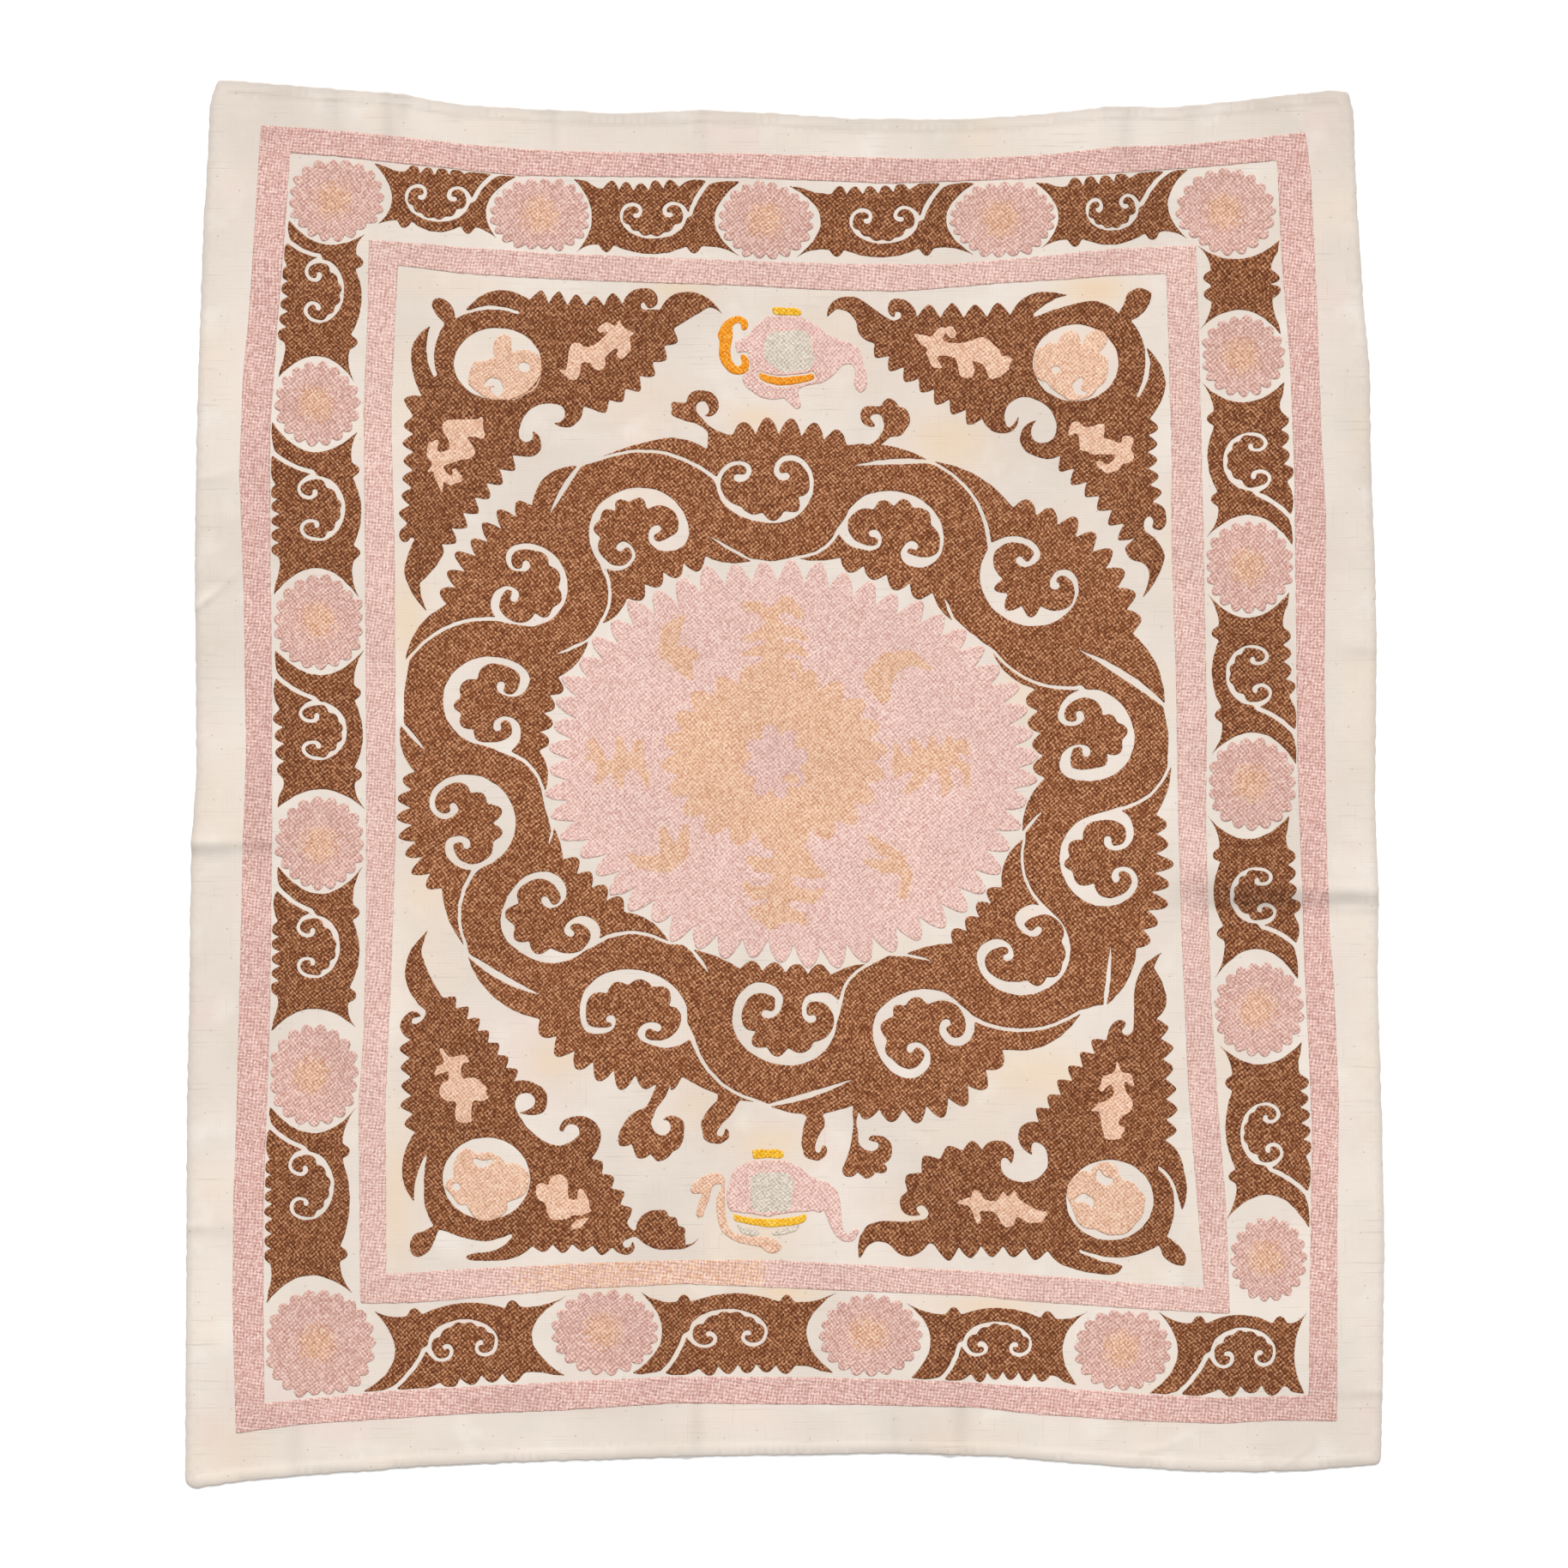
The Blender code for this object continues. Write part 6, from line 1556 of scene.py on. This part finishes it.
TableclothSettings.__annotations__.update({
    f"{thread}_{depth}": colour_setting(f"{thread.capitalize()} {depth}",
                                        f"The {depth} stitches of the {thread} thread", colour)
    for thread, colours in THREADS.items() for depth, colour in zip(STITCH_TONES, colours)})


class BuildCloth(bpy.types.Operator):
    """Makes the hemmed cloth with its soft creases"""
    bl_idname = "tablecloth.cloth"
    bl_label = "Cloth"

    def execute(self, context):
        settings = context.scene.tablecloth
        thick, rise = settings.cloth_thick / MILLIMETRE, settings.hem_rise / MILLIMETRE
        edge = Edge([worked_edge(joined(EDGES), CLOTH_STEP, CLOTH_WOBBLE)])
        spare = edge.rings([inset for inset, _ in HEM_PROFILE[1:]])
        spare += [place for place in rows_inside(edge.loops, CREASE_GRAIN) if near_crease(*place)]
        spare += [place for place in rows_inside(edge.loops, CLOTH_GRAIN) if not near_crease(*place)]
        spare = [place for place in spare if edge.away(*place) > CLOTH_ROOM]
        under = [place for place in rows_inside(edge.loops, UNDERSIDE_GRAIN)
                 if edge.away(*place) > UNDER_ROOM]

        def top_at(x, y, away):
            if away < RIM_WIDE:
                return lift(x, y) + RIM_SHARE * (thick + rise)
            return lift(x, y) + (thick + rise * height_at(HEM_PROFILE, away))

        mesh, places = area_mesh("cloth_sheet", edge, spare, top_at, lift, under_spare=under)
        # On the cloth the warm value is painted shade, a shadow line that fades in from the edge.
        mark(mesh, places, "warm", lambda x, y: math.exp(-(edge.away(x, y) / EDGE_SHADE_WIDE) ** 2))
        mark(mesh, places, "shade", spots_at(SHADES))
        mark(mesh, places, "dye", spots_at(DYES))
        show("cloth_sheet", mesh, [cloth_material("cotton_cloth", settings)], ["ground_cloth"])
        return {"FINISHED"}


class BuildBands(bpy.types.Operator):
    """Makes the two rose bands that frame the border"""
    bl_idname = "tablecloth.bands"
    bl_label = "Bands"

    def execute(self, context):
        for node, thread, warm_at in (("outer_band", "rose_band", None),
                                      ("inner_band", "inner_band", band_warm)):
            thread_piece(node, [joined(line) for line in BANDS[node]], thread, warm_at)
        return {"FINISHED"}


class BuildRosettes(bpy.types.Operator):
    """Makes the round flowers of the border"""
    bl_idname = "tablecloth.rosettes"
    bl_label = "Rosettes"

    def execute(self, context):
        around = joined(panel(row) for row in PANELS)
        for line in FACING_LINES:
            around += resampled(joined(line), EDGE_STEP)
        for i, (x, y, half_wide, half_long, count, turn) in enumerate(ROSETTES, 1):
            size = (half_wide * ROSETTE_GROW, half_long * ROSETTE_GROW)
            reaches = reaches_of(x, y, *size, count, turn, around, ROSETTE_CLEAR)
            loop = notched(x, y, *size, count, turn, PETAL_DEEP, PETAL_ROUND, reaches)
            thread_piece(f"rosette_{i:02d}", [loop], "rose_flower", middle_warm(x, y))
        return {"FINISHED"}


class BuildPanels(bpy.types.Operator):
    """Makes the scrolled leaf panels of the border"""
    bl_idname = "tablecloth.panels"
    bl_label = "Leaf panels"

    def execute(self, context):
        for i, row in enumerate(PANELS, 1):
            thread_piece(f"leaf_panel_{i:02d}", [panel(row)], "bark")
        return {"FINISHED"}


class BuildVine(bpy.types.Operator):
    """Makes the ring of scrolls and the toothed medallion in it"""
    bl_idname = "tablecloth.vine"
    bl_label = "Vine and medallion"

    def execute(self, context):
        outer, inner = vine_loops()
        thread_piece("ring_vine", [outer, inner], "brown")
        thread_piece("medallion", [toothed(**MEDALLION, vine=inner)], "pink")
        return {"FINISHED"}


class BuildSprays(bpy.types.Operator):
    """Makes the four corner sprays with the flowers in their discs"""
    bl_idname = "tablecloth.sprays"
    bl_label = "Corner sprays"

    def execute(self, context):
        for node, (disc, rows) in SPRAYS.items():
            thread_piece(node, [strokes(rows), ring_of(*disc)], "bark")
        for node, (rows, eyes, curls) in DISC_FLOWERS.items():
            gaps = [ring_of(*eye, EYE_PARTS) for eye in eyes] + [motif(curl)[0] for curl in curls]
            thread_piece(node, [strokes(rows)] + gaps, "peach")
        return {"FINISHED"}


class BuildPots(bpy.types.Operator):
    """Makes the two pots with their lids, bands and handles"""
    bl_idname = "tablecloth.pots"
    bl_label = "Pots"

    def execute(self, context):
        for node, slot, *outlines in POTS:
            thread = "pink" if slot == "rose" else slot
            thread_piece(node, [strokes(rows) for rows in outlines], thread)
        for i, rows in enumerate(HALF_MOONS, 1):
            thread_piece(None, [strokes(rows)], "grey", name=f"half_moon_{i}")
        return {"FINISHED"}


class DeclareSheet(bpy.types.Operator):
    """Does nothing; the flat cloth and its thread work are made by the other operators"""
    bl_idname = "tablecloth.sheet"
    bl_label = "Sheet"

    def execute(self, context):
        return {"FINISHED"}


class BuildStage(bpy.types.Operator):
    """Makes the white floor, the soft lights and the camera straight above"""
    bl_idname = "tablecloth.stage"
    bl_label = "Stage"

    def execute(self, context):
        scene, settings = context.scene, context.scene.tablecloth
        mesh = bpy.data.meshes.new("floor")
        side = FLOOR_SIDE / 2.0
        corners = ((-side, -side), (side, -side), (side, side), (-side, side))
        mesh.from_pydata([(x, y, FLOOR_LOW) for x, y in corners], [], [(0, 1, 2, 3)])
        material, tree, shade = blank("floor_paper", *FLOOR_SURFACE)
        grain = cloud(tree, add(tree, "TexCoord").outputs["Object"], 300.0, 2.0)
        tree.links.new(ramp(tree, grain, (0.0, 1.0), FLOOR_TONES), shade.inputs["Base Color"])
        mesh.materials.append(material)
        floor = bpy.data.objects.new("floor", mesh)
        scene.collection.objects.link(floor)
        for name, spot, power, softness in LIGHTS:
            light = bpy.data.lights.new(name, "SUN")
            light.energy, light.angle = power * settings.light_power, math.radians(softness)
            lamp = bpy.data.objects.new(name, light)
            lamp.location = spot
            lamp.rotation_euler = (-Vector(spot)).to_track_quat("-Z", "Y").to_euler()
            scene.collection.objects.link(lamp)
        world = bpy.data.worlds.new("studio")
        scene.world = world
        world.use_nodes = True
        backdrop = world.node_tree.nodes["Background"].inputs
        backdrop["Color"].default_value = (1.0, 1.0, 1.0, 1.0)
        backdrop["Strength"].default_value = settings.world_power
        scene.view_settings.view_transform = "Standard"
        camera = bpy.data.objects.new("camera", bpy.data.cameras.new("camera"))
        camera.data.sensor_width = SENSOR
        camera.data.lens = SENSOR * (CAMERA_HIGH - EYE_LEVEL) / (PHOTO_SIDE * MM)
        x, y = on_cloth(PHOTO_SIDE / 2.0, PHOTO_SIDE / 2.0)
        camera.location = (x * MM, y * MM, CAMERA_HIGH)
        scene.collection.objects.link(camera)
        scene.camera = camera
        return {"FINISHED"}


class TableclothPanel(bpy.types.Panel):
    """The tablecloth's settings and its pieces"""
    bl_idname = "VIEW3D_PT_tablecloth"
    bl_label = "Tablecloth"
    bl_space_type = "VIEW_3D"
    bl_region_type = "UI"
    bl_category = "Tablecloth"

    def draw(self, context):
        for name in TableclothSettings.__annotations__:
            self.layout.prop(context.scene.tablecloth, name)
        for operator in PIECES:
            self.layout.operator(operator.bl_idname)


SOFT_CREASES = soft_creases()
PIECES = (BuildCloth, BuildBands, BuildRosettes, BuildPanels, BuildVine, BuildSprays, BuildPots,
          DeclareSheet, BuildStage)


def register():
    for kind in (TableclothSettings, *PIECES, TableclothPanel):
        bpy.utils.register_class(kind)
    bpy.types.Scene.tablecloth = bpy.props.PointerProperty(type=TableclothSettings)


def unregister():
    del bpy.types.Scene.tablecloth
    for kind in (TableclothPanel, *reversed(PIECES), TableclothSettings):
        bpy.utils.unregister_class(kind)


def main():
    register()
    bpy.ops.tablecloth.cloth()
    bpy.ops.tablecloth.bands()
    bpy.ops.tablecloth.rosettes()
    bpy.ops.tablecloth.panels()
    bpy.ops.tablecloth.vine()
    bpy.ops.tablecloth.sprays()
    bpy.ops.tablecloth.pots()
    bpy.ops.tablecloth.sheet()
    bpy.ops.tablecloth.stage()


if __name__ == "__main__":
    main()
